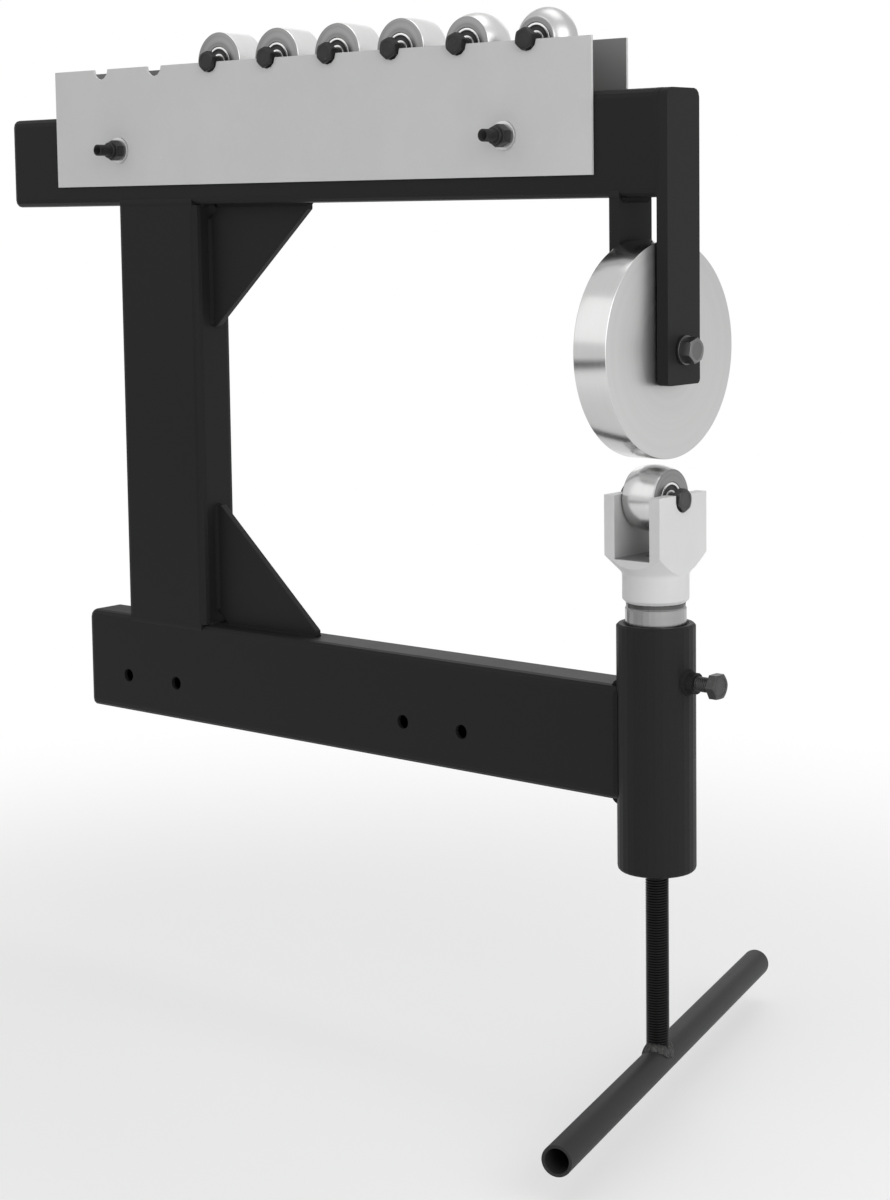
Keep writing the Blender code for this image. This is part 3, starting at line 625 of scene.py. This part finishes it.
def carved(mesh, cuts):
    """A mesh after a run of (operation, tool mesh) steps."""
    piece = added("blank", mesh)
    tools = []
    for operation, tool_mesh in cuts:
        tool = added("tool", tool_mesh)
        step = piece.modifiers.new("cut", "BOOLEAN")
        step.operation = operation
        step.solver = "EXACT"
        step.object = tool
        tools.append(tool)
    bpy.context.view_layer.update()
    done = bpy.data.meshes.new_from_object(piece.evaluated_get(bpy.context.evaluated_depsgraph_get()))
    for old in [piece] + tools:
        bpy.data.objects.remove(old, do_unlink=True)
    made = whole_faces(done, 0.4)
    made.to_mesh(done)
    made.free()
    return done


def box_mesh(name, low, high):
    made = bmesh.new()
    bmesh.ops.create_cube(made, size=1)
    size = Vector(high) - Vector(low)
    bmesh.ops.scale(made, vec=size, verts=made.verts)
    bmesh.ops.translate(made, vec=(Vector(low) + Vector(high)) / 2, verts=made.verts)
    return finished_mesh(name, made)


# Finishes

frame_black = painted("frame_satin_black", 0.018, 0.46, gloss=0.11)
weld_black = painted("painted_weld", 0.018, 0.60, gloss=0.04, peel=0.00003)
cap_black = moulded_plastic("cap_plastic_grain", 0.016, 0.52)
oxide = black_oxide("blackened_bolts", 0.036, 0.40)
clamp_oxide = black_oxide("blackened_clamp", 0.07, 0.42)
# The working pin's oxide is a lighter copy of the other bolts', for the light on it: painted light
pin_oxide = black_oxide("blackened_working_pin", 0.065, 0.36)
wheel_steel = turned_steel("wheel_turned_steel", wheel_centre, along_x, 0.66, 0.19,
                           face=0.59, face_roughness=0.42, half=wheel_half)
axle_steel = turned_steel("axle_head_steel", wheel_centre, along_x, 0.14, 0.40, pitch=0.0004,
                          face=0.20, face_roughness=0.38, half=0.0468)
# The post's dark ring just under the yoke's collar is painted shade
post_steel = turned_steel("post_turned_steel", at(0, 0, 0), along_z, 0.36, 0.22, band=(-0.1385, -0.1365))
rod_steel = turned_steel("lead_screw_steel", at(0, 0, 0), along_z, 0.035, 0.42)
# The yoke's paint is darkened inside its channel: painted shade
yoke_grey = painted("yoke_satin_grey", 0.70, 0.45, gloss=0.25, peel=0.00001, shade=channel_painted_shade)
# The rack's paint is darkened on the plates' inner faces: painted shade
rack_grey = painted("rack_satin_grey", 0.68, 0.48, gloss=0.25, peel=0.000012, shade=rack_gap_painted_shade)
handle_grey = painted("handle_dark_grey", 0.030, 0.52, gloss=0.18, peel=0.00004)
bare_weld = cast_weld("handle_weld_metal", 0.05, metallic=0.5, roughness=0.5)
nylon = moulded_plastic("lock_nut_nylon", 0.05, 0.4)
zinc = turned_steel("zinc_washers", at(0, 0, 0), along_y, 0.62, 0.36)
tip_brass = turned_steel("tip_turned_brass", at(0, 0, clamp_z), along_x, 0.5, 0.3, pitch=0.00035)

# Frame: tubes as they are, plates with broken edges, and the welds between them

dress(frame_black, "upper_arm", "column", "lower_arm", "post_housing", "clamp_boss")
dress(post_steel, "lower_post", "thrust_bearing", "lead_nut")
dress(wheel_steel, "axle_spacer_outer", "axle_spacer_inner")
dress(tip_brass, "clamp_tip")
dress(oxide, "yoke_screw")
for material, slot, edge, pair in (
        (frame_black, "frame_paint", 0.0012, ("outer_fork_leg", "inner_fork_leg")),
        (frame_black, "frame_paint", 0.0007, ("upper_gusset", "lower_gusset")),
        (cap_black, "cap_plastic", 0.0008, ("upper_arm_cap", "lower_arm_cap")),
        (rack_grey, "rack_paint", 0.0004, ("rack_plate_front", "rack_plate_rear"))):
    for node in pair:
        softened(node, edge, material, "frame", slot)

# Half the flat between a tube's rounded corners, across the frame
flat_half = side_y - tube_corner
sides = (("front", -1), ("rear", 1))

# Sizes of the painted fillet welds
gusset_bead = 0.0030
throat_bead = 0.0040
arm_bead = 0.0045
boss_bead = 0.0026

# Outlines of the ground welds: (depth under the tube's side, height past the joint)
column_seam = [(-0.00012, 0.0006), (-0.00012, -0.0052), (0.0006, -0.0070),
               (0.0074, -0.0004), (0.0074, 0.0016), (0.0006, 0.0022)]
leg_seam = [(-0.0001, 0.0006), (-0.0001, -0.0050), (0.0006, -0.0068), (0.0074, -0.0004), (0.0074, 0.0016)]
column_seam_inset = 0.0052
leg_seam_inset = 0.0004


def frame_bead(name, path, size, seed):
    """A painted weld on the frame, nearly smooth."""
    mesh = bead(name, path, size, seed, fullness=0.35, rough=0.02, wave=0.025)
    put(name, mesh, weld_black, "frame", "frame_paint", sharp=weld_crisp_angle)


def ground_weld(name, seam, side, z, up, start, end):
    """A weld ground flush where the sides of two tubes meet, from start to end along the frame."""
    outline = [(side * (side_y - depth), z + up * past) for depth, past in seam]
    soften(put(name, prism(name, outline, start, end), frame_black, "frame", "frame_paint"), 0.0004)


for label, arm_z, up in (("upper", arm_underside_z, -1), ("lower", lower_top_z, 1)):
    rise = along_z * up
    for side_name, side in sides:
        y = side * gusset_side
        out = along_y * side
        frame_bead("weld_%s_gusset_arm_%s" % (label, side_name),
                   straight(at(column_front_x + gusset_relief, y, arm_z),
                            at(column_front_x + gusset_length, y, arm_z), out, rise),
                   gusset_bead, 11 + side)
        frame_bead("weld_%s_gusset_column_%s" % (label, side_name),
                   straight(at(column_front_x, y, arm_z + up * gusset_relief),
                            at(column_front_x, y, arm_z + up * gusset_height), out, along_x),
                   gusset_bead, 21 + side)
        frame_bead("weld_%s_column_throat_%s" % (label, side_name),
                   straight(at(column_front_x, y, arm_z), at(column_front_x, side * flat_half, arm_z),
                            along_x, rise), throat_bead, 31 + side)
        ground_weld("ground_weld_%s_%s" % (label, side_name), column_seam, side, arm_z, up,
                    column_back_x + column_seam_inset, column_front_x - column_seam_inset)
    frame_bead("weld_%s_column_back" % label,
               straight(at(column_back_x, -flat_half, arm_z), at(column_back_x, flat_half, arm_z),
                        -along_x, rise), arm_bead, 41)

leg_flat_half = flat_half + 0.004
for name, x, out in (("weld_outer_leg", leg_inner_x, -along_x),
                     ("weld_inner_leg_front", -leg_inner_x, along_x),
                     ("weld_inner_leg_back", -leg_outer_x, -along_x)):
    frame_bead(name, straight(at(x, -leg_flat_half, arm_underside_z), at(x, leg_flat_half, arm_underside_z),
                              out, -along_z), arm_bead, 51)
for side_name, side in sides:
    ground_weld("ground_weld_inner_leg_" + side_name, leg_seam, side, arm_underside_z, -1,
                -leg_outer_x + leg_seam_inset, -leg_inner_x - leg_seam_inset)

# The ground weld all round the arm's end, where the outer leg closes it
arm_middle_z = (arm_top_z + arm_underside_z) / 2
arm_depth = arm_top_z - arm_underside_z
sunk = 0.002
proud = 0.00012
end_weld = hoop("ground_weld_arm_end",
                rounded_rectangle(2 * side_y - 2 * sunk, arm_depth - 2 * sunk, tube_corner - sunk),
                rounded_rectangle(2 * side_y + 2 * proud, arm_depth + 2 * proud, tube_corner),
                leg_inner_x - 0.0030, leg_inner_x + 0.0024, arm_middle_z)
soften(put("ground_weld_arm_end", end_weld, frame_black, "frame", "frame_paint"), 0.0001)

# Round the housing, down its sides and round the clamp's boss
arc_steps = 60
spread = math.asin((flat_half + 0.002) / housing_radius)
for label, z, up in (("top", lower_top_z, along_z), ("foot", lower_underside_z, -along_z)):
    path = []
    for i in range(arc_steps + 1):
        angle = math.pi - spread + 2 * spread * i / arc_steps
        out = Vector((math.cos(angle), math.sin(angle), 0))
        path.append((at(0, 0, z) + out * housing_radius, out, up))
    frame_bead("weld_housing_" + label, path, arm_bead, 61)

seam_angle = math.asin(side_y / housing_radius)
seam_foot = along_z * (lower_underside_z + tube_corner * 0.6)
seam_top = along_z * (lower_top_z - tube_corner * 0.6)
for side_name, side in sides:
    place = at(-housing_radius * math.cos(seam_angle), side * side_y, 0)
    tangent = Vector((math.sin(seam_angle), side * math.cos(seam_angle), 0))
    frame_bead("weld_housing_side_" + side_name,
               straight(place + seam_foot, place + seam_top, -along_x, tangent), arm_bead, 71)

boss_radius = 0.010
boss_steps = 72
path = []
for i in range(boss_steps + 1):
    angle = math.tau * i / boss_steps
    y = boss_radius * math.cos(angle)
    z = boss_radius * math.sin(angle)
    skin = Vector((math.sqrt(housing_radius ** 2 - y ** 2), y, 0))
    slope = Vector((-skin.y / skin.x, 1, 0)) * math.cos(angle) + along_z * math.sin(angle)
    path.append((at(skin.x, y, clamp_z + z), slope, along_x))
frame_bead("weld_clamp_boss", path, boss_bead, 81)


# The upper wheel with its bearings and bolt

def wheel_section():
    """A plain wheel's section: a pocket at each end for a bearing, and a web between."""
    edge = 0.0012
    pocket_edge = 0.0006
    inner_edge = 0.0003
    pocket = 0.0175
    floor = 0.0067
    web = 0.0130
    points = [(pocket, wheel_half), (wheel_radius, wheel_half), (wheel_radius, -wheel_half),
              (pocket, -wheel_half), (pocket, -floor), (web, -floor), (web, floor), (pocket, floor)]
    return eased(points, [pocket_edge, edge, edge, pocket_edge] + [inner_edge] * 4)


def bearing(name, centre, axis, carrier, stands_for, steel, seal, bore, outer, half):
    """Two steel races and a sealed ring set back between them, at one end of a wheel."""
    race = 0.0022
    set_back = 0.0007
    steps = 72
    shells = [turned(name, eased(ring_section(low, high, half, -half), 0.0004), centre, axis, steps)
              for low, high in ((bore, bore + race), (outer - race, outer))]
    put(name + "_races", joined(name, shells), steel, carrier, "bearing_steel", *stands_for)
    low = bore + race * 0.9
    high = outer - race * 0.9
    lip = (high - low) * 0.16
    top = half - set_back
    dip = top - 0.0003
    ring = [(low, top), (low + lip, top), (low + lip * 1.4, dip), (high - lip * 1.4, dip),
            (high - lip, top), (high, top), (high, -top), (low, -top)]
    put(name + "_seal", turned(name + "_seal", eased(ring, 0.0002, 2), centre, axis, steps), seal, carrier,
        "bearing_steel")


put("upper_wheel_turned", turned("upper_wheel_turned", wheel_section(), wheel_centre, along_x, 180),
    wheel_steel, "wheel", "wheel_steel", "upper_wheel")
wheel_seal = seal_rubber("wheel_bearing_seal", wheel_centre, along_x)
for label, side in (("outer", 1), ("inner", -1)):
    name = "wheel_bearing_" + label
    bearing(name, wheel_centre + along_x * side * 0.0125, along_x, "wheel", (name,), wheel_steel,
            wheel_seal, bore=0.0078, outer=0.0172, half=0.0055)

axle_flats = 0.0215
axle_radius = 0.0075
axle_length = 0.0833
axle_washer_radius = 0.0135
axle_thread_length = 0.0072
leg_gap = 0.0003
washer_face = leg_outer_x + leg_gap
head_face = washer_face + 0.003
shank = eased(ring_section(0, axle_radius, 0, -axle_length), [0, 0.0005, 0.001, 0], 2)
washer = eased(ring_section(axle_radius + 0.0002, axle_washer_radius, head_face, washer_face), 0.0004)
axle = [
    turned("axle", shank, wheel_centre + along_x * (head_face + 0.002), along_x, 48, False),
    hexagon("axle", axle_flats, head_face, head_face + 0.011, wheel_centre, along_x, turn=0.2, dish=0.0004),
    turned("axle", washer, wheel_centre, along_x, 64),
]
put("wheel_axle_bolt", joined("wheel_axle_bolt", axle), axle_steel, "frame", "blackened_steel", "wheel_axle")
nut_centre = wheel_centre - along_x * (leg_outer_x + leg_gap)
thread_start = wheel_centre - along_x * (leg_outer_x + leg_gap + 0.0118)
axle_nut = [
    hexagon("axle_nut", axle_flats, 0.0, 0.013, nut_centre, -along_x, hole=0.0077, turn=0.3, both=True),
    threaded("axle_end", 0.0074, 0.002, axle_thread_length, thread_start, -along_x),
]
put("wheel_axle_lock", joined("wheel_axle_lock", axle_nut), oxide, "frame", "blackened_steel",
    "wheel_axle_nut")


# Anvils: one working in the yoke and six spare in the rack

def anvil_section(crown):
    """A crowned tread between two flat ends, a pocket in each for a bearing, and a web between."""
    edge = 0.0008
    chamfer = 0.0004
    pocket = 0.0160
    floor = 0.0077
    web = 0.0090
    steps = 14
    tread_half = anvil_half - edge
    bend = (tread_half ** 2 + crown ** 2) / (2 * crown)
    spread = math.asin(tread_half / bend)
    rim = anvil_radius - crown - edge
    upper = [(pocket, anvil_half - chamfer), (pocket + chamfer, anvil_half), (rim - 0.0002, anvil_half),
             (rim + edge * 0.5, anvil_half - edge * 0.25)]
    tread = []
    for i in range(2 * steps + 1):
        angle = spread * (1 - i / steps)
        tread.append((anvil_radius - bend * (1 - math.cos(angle)), bend * math.sin(angle)))
    lower = [(radius, -height) for radius, height in reversed(upper)]
    return upper + tread + lower + [(pocket, -floor), (web, -floor), (web, floor), (pocket, floor)]


def make_anvil(name, centre, axis, crown, pin_centre, carriers, stands_for, level, sheen, bolt_finish):
    """An anvil, its two sealed bearings and the hex bolt and nut that it turns on."""
    steel = turned_steel(name + "_steel", centre, axis, level, sheen, face=0.27, face_roughness=0.34,
                         half=anvil_half, rings=0.40)
    race_steel = turned_steel(name + "_race_steel", centre, axis, 0.85, 0.3, pitch=0.0004)
    seal = seal_rubber(name + "_seal_rubber", centre, axis)
    anvil_carrier, pin_carrier = carriers
    anvil_node, bearing_node, pin_node = stands_for
    put(name, turned(name, anvil_section(crown), centre, axis, 120), steel, anvil_carrier, "anvil_steel",
        anvil_node)
    for label, side, node in (("near", 1, (bearing_node,)), ("far", -1, ())):
        bearing(name + "_bearing_" + label, centre + axis * side * (anvil_half - 0.0052), axis,
                anvil_carrier, node, race_steel, seal, bore=0.0063, outer=0.0157, half=0.005)
    flats = 0.019
    reach = 0.034
    end = 0.026
    shank = eased(ring_section(0, 0.006, end, -reach + 0.0005), [0, 0.0003, 0.0008, 0], 2)
    bolt = [
        turned(name, shank, pin_centre, axis, 48, False),
        hexagon(name, flats, end, reach, pin_centre, axis, turn=0.15, dish=0.0004),
        hexagon(name, flats, end, reach - 0.0006, pin_centre, -axis, hole=0.0061, turn=0.4, both=True),
    ]
    put(name + "_pin", joined(name + "_pin", bolt), bolt_finish, pin_carrier, "blackened_steel", pin_node)


make_anvil("working_roller", working_centre, along_x, working_crown, working_centre, ("anvil", "post"),
           ("working_anvil", "working_bearings", "working_pin"), 0.66, 0.25, pin_oxide)
# The spares' steel is lighter than the working anvil's, and darker the more it is crowned, for how brightly
# each tread catches the lamps: painted light and shade
for i, (x, crown) in enumerate(zip(stored_places, stored_crowns), 1):
    make_anvil("spare_roller_%d" % i, at(x, stored_shift, stored_z), -along_y, crown, at(x, 0, stored_z),
               ("stored_anvil_body_%d" % i, "stored_pin_body_%d" % i),
               ("stored_anvil_%d" % i, "stored_bearings_%d" % i, "stored_pin_%d" % i),
               0.84 - crown * 28, 0.36, oxide)

# Rack bolts: head and washer behind, lock nut and a stub of thread in front

plate_gap = 0.0003
plate_thickness = 0.003
rack_flats = 0.019
rack_bolt_radius = 0.006
rack_bolt_z = 0.2975
rack_face = side_y + plate_gap + plate_thickness + plate_gap
washer_top = rack_face + 0.0025
nut_top = washer_top + 0.010
washer = eased(ring_section(0.0062, 0.014, rack_face, washer_top), 0.0005)
shank = eased(ring_section(0, rack_bolt_radius, 0.0392, -0.0385), [0, 0.0003, 0.0003, 0], 2)
collar = [(0.0062, nut_top - 0.001), (0.0084, nut_top - 0.001), (0.0084, nut_top + 0.0036),
          (0.0064, nut_top + 0.0040), (0.0062, nut_top + 0.0036)]
insert = ring_section(0.0061, 0.0074, nut_top + 0.0022, nut_top + 0.0038)
for label, x in (("back", -0.6844), ("front", -0.1507)):
    centre = at(x, 0, rack_bolt_z)
    bolt = [
        turned("bolt", shank, centre, along_y, 40, False),
        threaded("thread", rack_bolt_radius, 0.00175, 0.0235, centre - along_y * 0.0370, -along_y),
        hexagon("bolt", rack_flats, washer_top, nut_top, centre, along_y, turn=0.25, dish=0.0004),
        turned("bolt", washer, centre, along_y, 64),
    ]
    put("rack_bolt_%s_turned" % label, joined("rack_bolt", bolt), oxide, "frame", "blackened_steel",
        "rack_bolt_" + label)
    put("rack_nut_%s_washer" % label, turned("washer", washer, centre, -along_y, 64), zinc, "frame",
        "blackened_steel")
    nut = [
        hexagon("nut", rack_flats, washer_top, nut_top, centre, -along_y, hole=0.0062, turn=0.1),
        turned("nut", eased(collar, 0.0006), centre, -along_y, 64),
    ]
    put("rack_nut_%s_turned" % label, joined("rack_nut", nut), oxide, "frame", "blackened_steel",
        "rack_nut_" + label)
    put("rack_nut_%s_insert" % label, turned("insert", insert, centre, -along_y, 48), nylon, "frame",
        "blackened_steel")


# The yoke: turned below, milled above

def yoke_mesh():
    half_x = 0.031
    half_y = 0.0375
    top = -0.032
    base = -0.1055
    foot = -0.1335
    collar = 0.031
    foot_cut = 0.0035
    over = 0.004
    slot_radius = 0.01137
    slot_steps = 32
    corner = math.hypot(half_x, half_y) + 0.002
    shape = [(0, top + 0.002), (corner, top + 0.002), (corner, base + corner - collar), (collar, base),
             (collar, foot + foot_cut), (collar - foot_cut, foot), (0, foot)]
    shape = eased(shape, [0, 0, 0, 0.003, 0.0008, 0.0008, 0], 4, False)
    slot = []
    for k in range(slot_steps + 1):
        angle = math.pi + math.pi * k / slot_steps
        slot.append((slot_radius * math.cos(angle), -0.037 + slot_radius * math.sin(angle)))
    slot += [(slot_radius, top + over), (-slot_radius, top + over)]
    channel = box_mesh("channel", at(-channel_half, -half_y - over, channel_floor_z),
                       at(channel_half, half_y + over, top + over))
    seat = ring_section(0, 0.0094, channel_floor_z + over, channel_floor_z - 0.012)
    return carved(box_mesh("yoke", at(-half_x, -half_y, foot), at(half_x, half_y, top)), [
        ("INTERSECT", turned("turning", shape, at(0, 0, 0), along_z, 96, False)),
        ("DIFFERENCE", channel),
        ("DIFFERENCE", prism("slot", slot, -half_x - over, half_x + over)),
        ("DIFFERENCE", turned("seat", seat, at(0, 0, 0), along_z, 64, False)),
    ])


soften(put("yoke_milled", yoke_mesh(), yoke_grey, "post", "yoke_paint", "yoke"), 0.0009, 3)

# Clamp screw, lead screw and handle

clamp_centre = at(0, 0, clamp_z)
clamp_flats = 0.022
clamp_head = 0.0629
clamp_shank = eased(ring_section(0, 0.0066, 0.0331, 0.064), [0, 0.001, 0, 0], 2)
clamp = [
    turned("clamp", clamp_shank, clamp_centre, along_x, 40, False),
    threaded("clamp_thread", 0.007, 0.002, 0.0279, clamp_centre + along_x * 0.0350, along_x, 32),
    hexagon("clamp", clamp_flats, clamp_head, clamp_head + 0.009, clamp_centre, along_x, turn=0.52,
            dish=0.0005),
]
put("clamp_screw_threaded", joined("clamp_screw_threaded", clamp), clamp_oxide, "clamp_turner",
    "blackened_steel", "clamp_screw")

thread_foot = handle_z + 0.010
screw_tip = ring_section(0, 0.007, screw_top_z - 0.001, screw_top_z + 0.040)
screw = [
    threaded("lead_thread", 0.011, screw_pitch, screw_top_z - thread_foot, at(0, 0, thread_foot),
             along_z, 28),
    turned("lead_tip", screw_tip, at(0, 0, 0), along_z, 32, False),
]
put("lead_screw_threaded", joined("lead_screw_threaded", screw), rod_steel, "screw", "screw_steel",
    "lead_screw")

handle_way = Vector((-math.sin(handle_turn), math.cos(handle_turn), 0))
handle_centre = at(0, 0, handle_z) + handle_way * handle_shift
tube = eased(ring_section(handle_radius - 0.003, handle_radius, handle_half, -handle_half), 0.0009)
put("tee_handle_tube", turned("tee_handle_tube", tube, handle_centre, handle_way, 96), handle_grey, "screw",
    "handle_paint", "tee_handle")

# The handle's weld runs round the screw, over the tube's back
across = Vector((math.cos(handle_turn), math.sin(handle_turn), 0))
weld_radius = 0.0106
weld_steps = 96
path = []
for i in range(weld_steps + 1):
    angle = math.tau * i / weld_steps
    out = Vector((math.cos(angle), math.sin(angle), 0))
    reach = out * weld_radius
    height = math.sqrt(handle_radius ** 2 - reach.dot(across) ** 2)
    fall = (out - along_z * reach.dot(across) / height * out.dot(across)).normalized()
    path.append((at(reach.x, reach.y, handle_z + height), fall, along_z))
handle_bead = bead("handle_weld", path, 0.0060, 91, fullness=0.6, rough=0.22, ripple=0.0042)
put("handle_weld", handle_bead, bare_weld, "screw", "screw_steel", sharp=weld_crisp_angle)


# Floor, light and camera

def looked_at(tree):
    """One for a ray from the camera or off metal, which meets the plain white background."""
    ray = tree.node("ShaderNodeLightPath", {}, {}, "Is Camera Ray")
    return tree.maths_least(ray + ray.other("Is Glossy Ray") + ray.other("Is Transmission Ray"), 1.0)


def off_metal(tree):
    """One for a ray off metal, which also meets the dark bands."""
    return tree.node("ShaderNodeLightPath", {}, {}, "Is Glossy Ray")


# The floor fades to white away from the part. Its dark band shows only in the wheel's tread
floor_z = -0.290
floor_radius = 9.0
floor_thickness = 0.05
least_glow = 0.4
floor_mesh = turned("floor", ring_section(0, floor_radius, floor_z, floor_z - floor_thickness), (0, 0, 0),
                    along_z, 64, False)
floor = added("floor", floor_mesh)
pale = Finish("floor_pale")
pale.give(base_color=grey(0.93), roughness=0.7, specular_ior_level=0.2)
x, y, z = pale.split(pale.place())
far = pale.ease((x * x + y * y) ** 0.5, 0.45, 1.5)
toward_viewer = x * -0.64 + y * -0.77
band = pale.ease(toward_viewer, 2.0, 2.9) * pale.ease(toward_viewer, 4.6, 5.4, 1.0, 0.0)
bright = pale.mix(band * off_metal(pale), grey(1.0), grey(0.03))
glow = pale.node("ShaderNodeEmission", {}, {"Color": bright, "Strength": 1.0})
share = (far * (1 - least_glow) + least_glow) * looked_at(pale)
mixed = pale.node("ShaderNodeMixShader", {}, {0: share, 1: Signal(pale, pale.shader.outputs[0]), 2: glow})
pale.links.new(mixed.socket, pale.nodes["Material Output"].inputs["Surface"])
floor_mesh.materials.append(pale.material)

# A grey room lights the part, and a white wall is seen. It is darker where metal mirrors its far side
world = bpy.data.worlds.new("studio")
bpy.context.scene.world = world
sky = Tree(world)
wx, wy, wz = sky.split(sky.node("ShaderNodeTexCoord", {}, {}, "Generated"))
room_stops = [(0.0, grey(0.36)), (0.45, grey(0.46)), (0.62, grey(0.62)), (1.0, grey(0.75))]
room = sky.node("ShaderNodeValToRGB", {"stops": room_stops}, {0: wz * 0.5 + 0.5})
ambient = sky.node("ShaderNodeBackground", {}, {"Color": room, "Strength": 0.66})
away = sky.ease(wx * -0.65 + wy * 0.76, 0.70, 0.95)
wall = sky.mix(off_metal(sky), grey(1.0), sky.mix(away, grey(0.82), grey(0.30)))
white = sky.node("ShaderNodeBackground", {}, {"Color": wall, "Strength": 1.0})
backdrop = sky.node("ShaderNodeMixShader", {}, {0: looked_at(sky), 1: ambient, 2: white})
sky.links.new(backdrop.socket, sky.nodes["World Output"].inputs["Surface"])


def lamp(name, place, aim, size, power):
    """A soft rectangular lamp that faces a point."""
    data = bpy.data.lights.new(name, "AREA")
    data.shape = "RECTANGLE"
    data.size, data.size_y = size
    data.energy = power
    made = added(name, data)
    made.location = place
    made.rotation_euler = (Vector(aim) - Vector(place)).to_track_quat("-Z", "Y").to_euler()


lamp("key_softbox", (-0.9, -2.6, 1.9), (0.1, 0, 0.3), (3.6, 2.4), 12)
lamp("right_softbox", (2.9, -0.7, 1.3), (0.3, 0, 0.25), (3.0, 2.4), 39)
lamp("top_softbox", (0.2, 0.3, 2.9), (0.1, 0, 0.3), (2.0, 1.4), 11)
lamp("rear_softbox", (-1.4, 2.5, 1.4), (0.1, 0, 0.3), (2.4, 1.8), 14)

# Camera, fitted to the straight edges of the frame in an 890 by 1200 picture
picture_width = 890
picture_height = 1200
turn = math.radians(40.288)
pitch = math.radians(5.772)
roll = math.radians(-0.764)
focal_pixels = 2383.3
centre_pixel = (446.7, 450.0)
wheel_pixel = (654.7, 349.1)
wheel_depth = 2.1778
sensor = 36.0

right = Vector((math.cos(turn), math.sin(turn), 0))
level = Vector((-math.sin(turn), math.cos(turn), 0))
forward = level * math.cos(pitch) - along_z * math.sin(pitch)
upward = along_z * math.cos(pitch) + level * math.sin(pitch)
right, upward = (right * math.cos(roll) + upward * math.sin(roll),
                 upward * math.cos(roll) - right * math.sin(roll))
aside = (wheel_pixel[0] - centre_pixel[0]) / focal_pixels * wheel_depth
below = (wheel_pixel[1] - centre_pixel[1]) / focal_pixels * wheel_depth
eye = wheel_centre - forward * wheel_depth - right * aside + upward * below

camera_data = bpy.data.cameras.new("camera")
camera_data.sensor_fit = "AUTO"
camera_data.sensor_width = sensor
camera_data.lens = sensor * focal_pixels / picture_height
camera_data.shift_x = (picture_width / 2 - centre_pixel[0]) / picture_height
camera_data.shift_y = (centre_pixel[1] - picture_height / 2) / picture_height
camera_data.clip_end = 30
camera = added("camera", camera_data)
camera.matrix_world = Matrix.Translation(eye) @ Matrix((right, upward, -forward)).transposed().to_4x4()
bpy.context.scene.camera = camera
bpy.context.scene.view_settings.view_transform = "Standard"
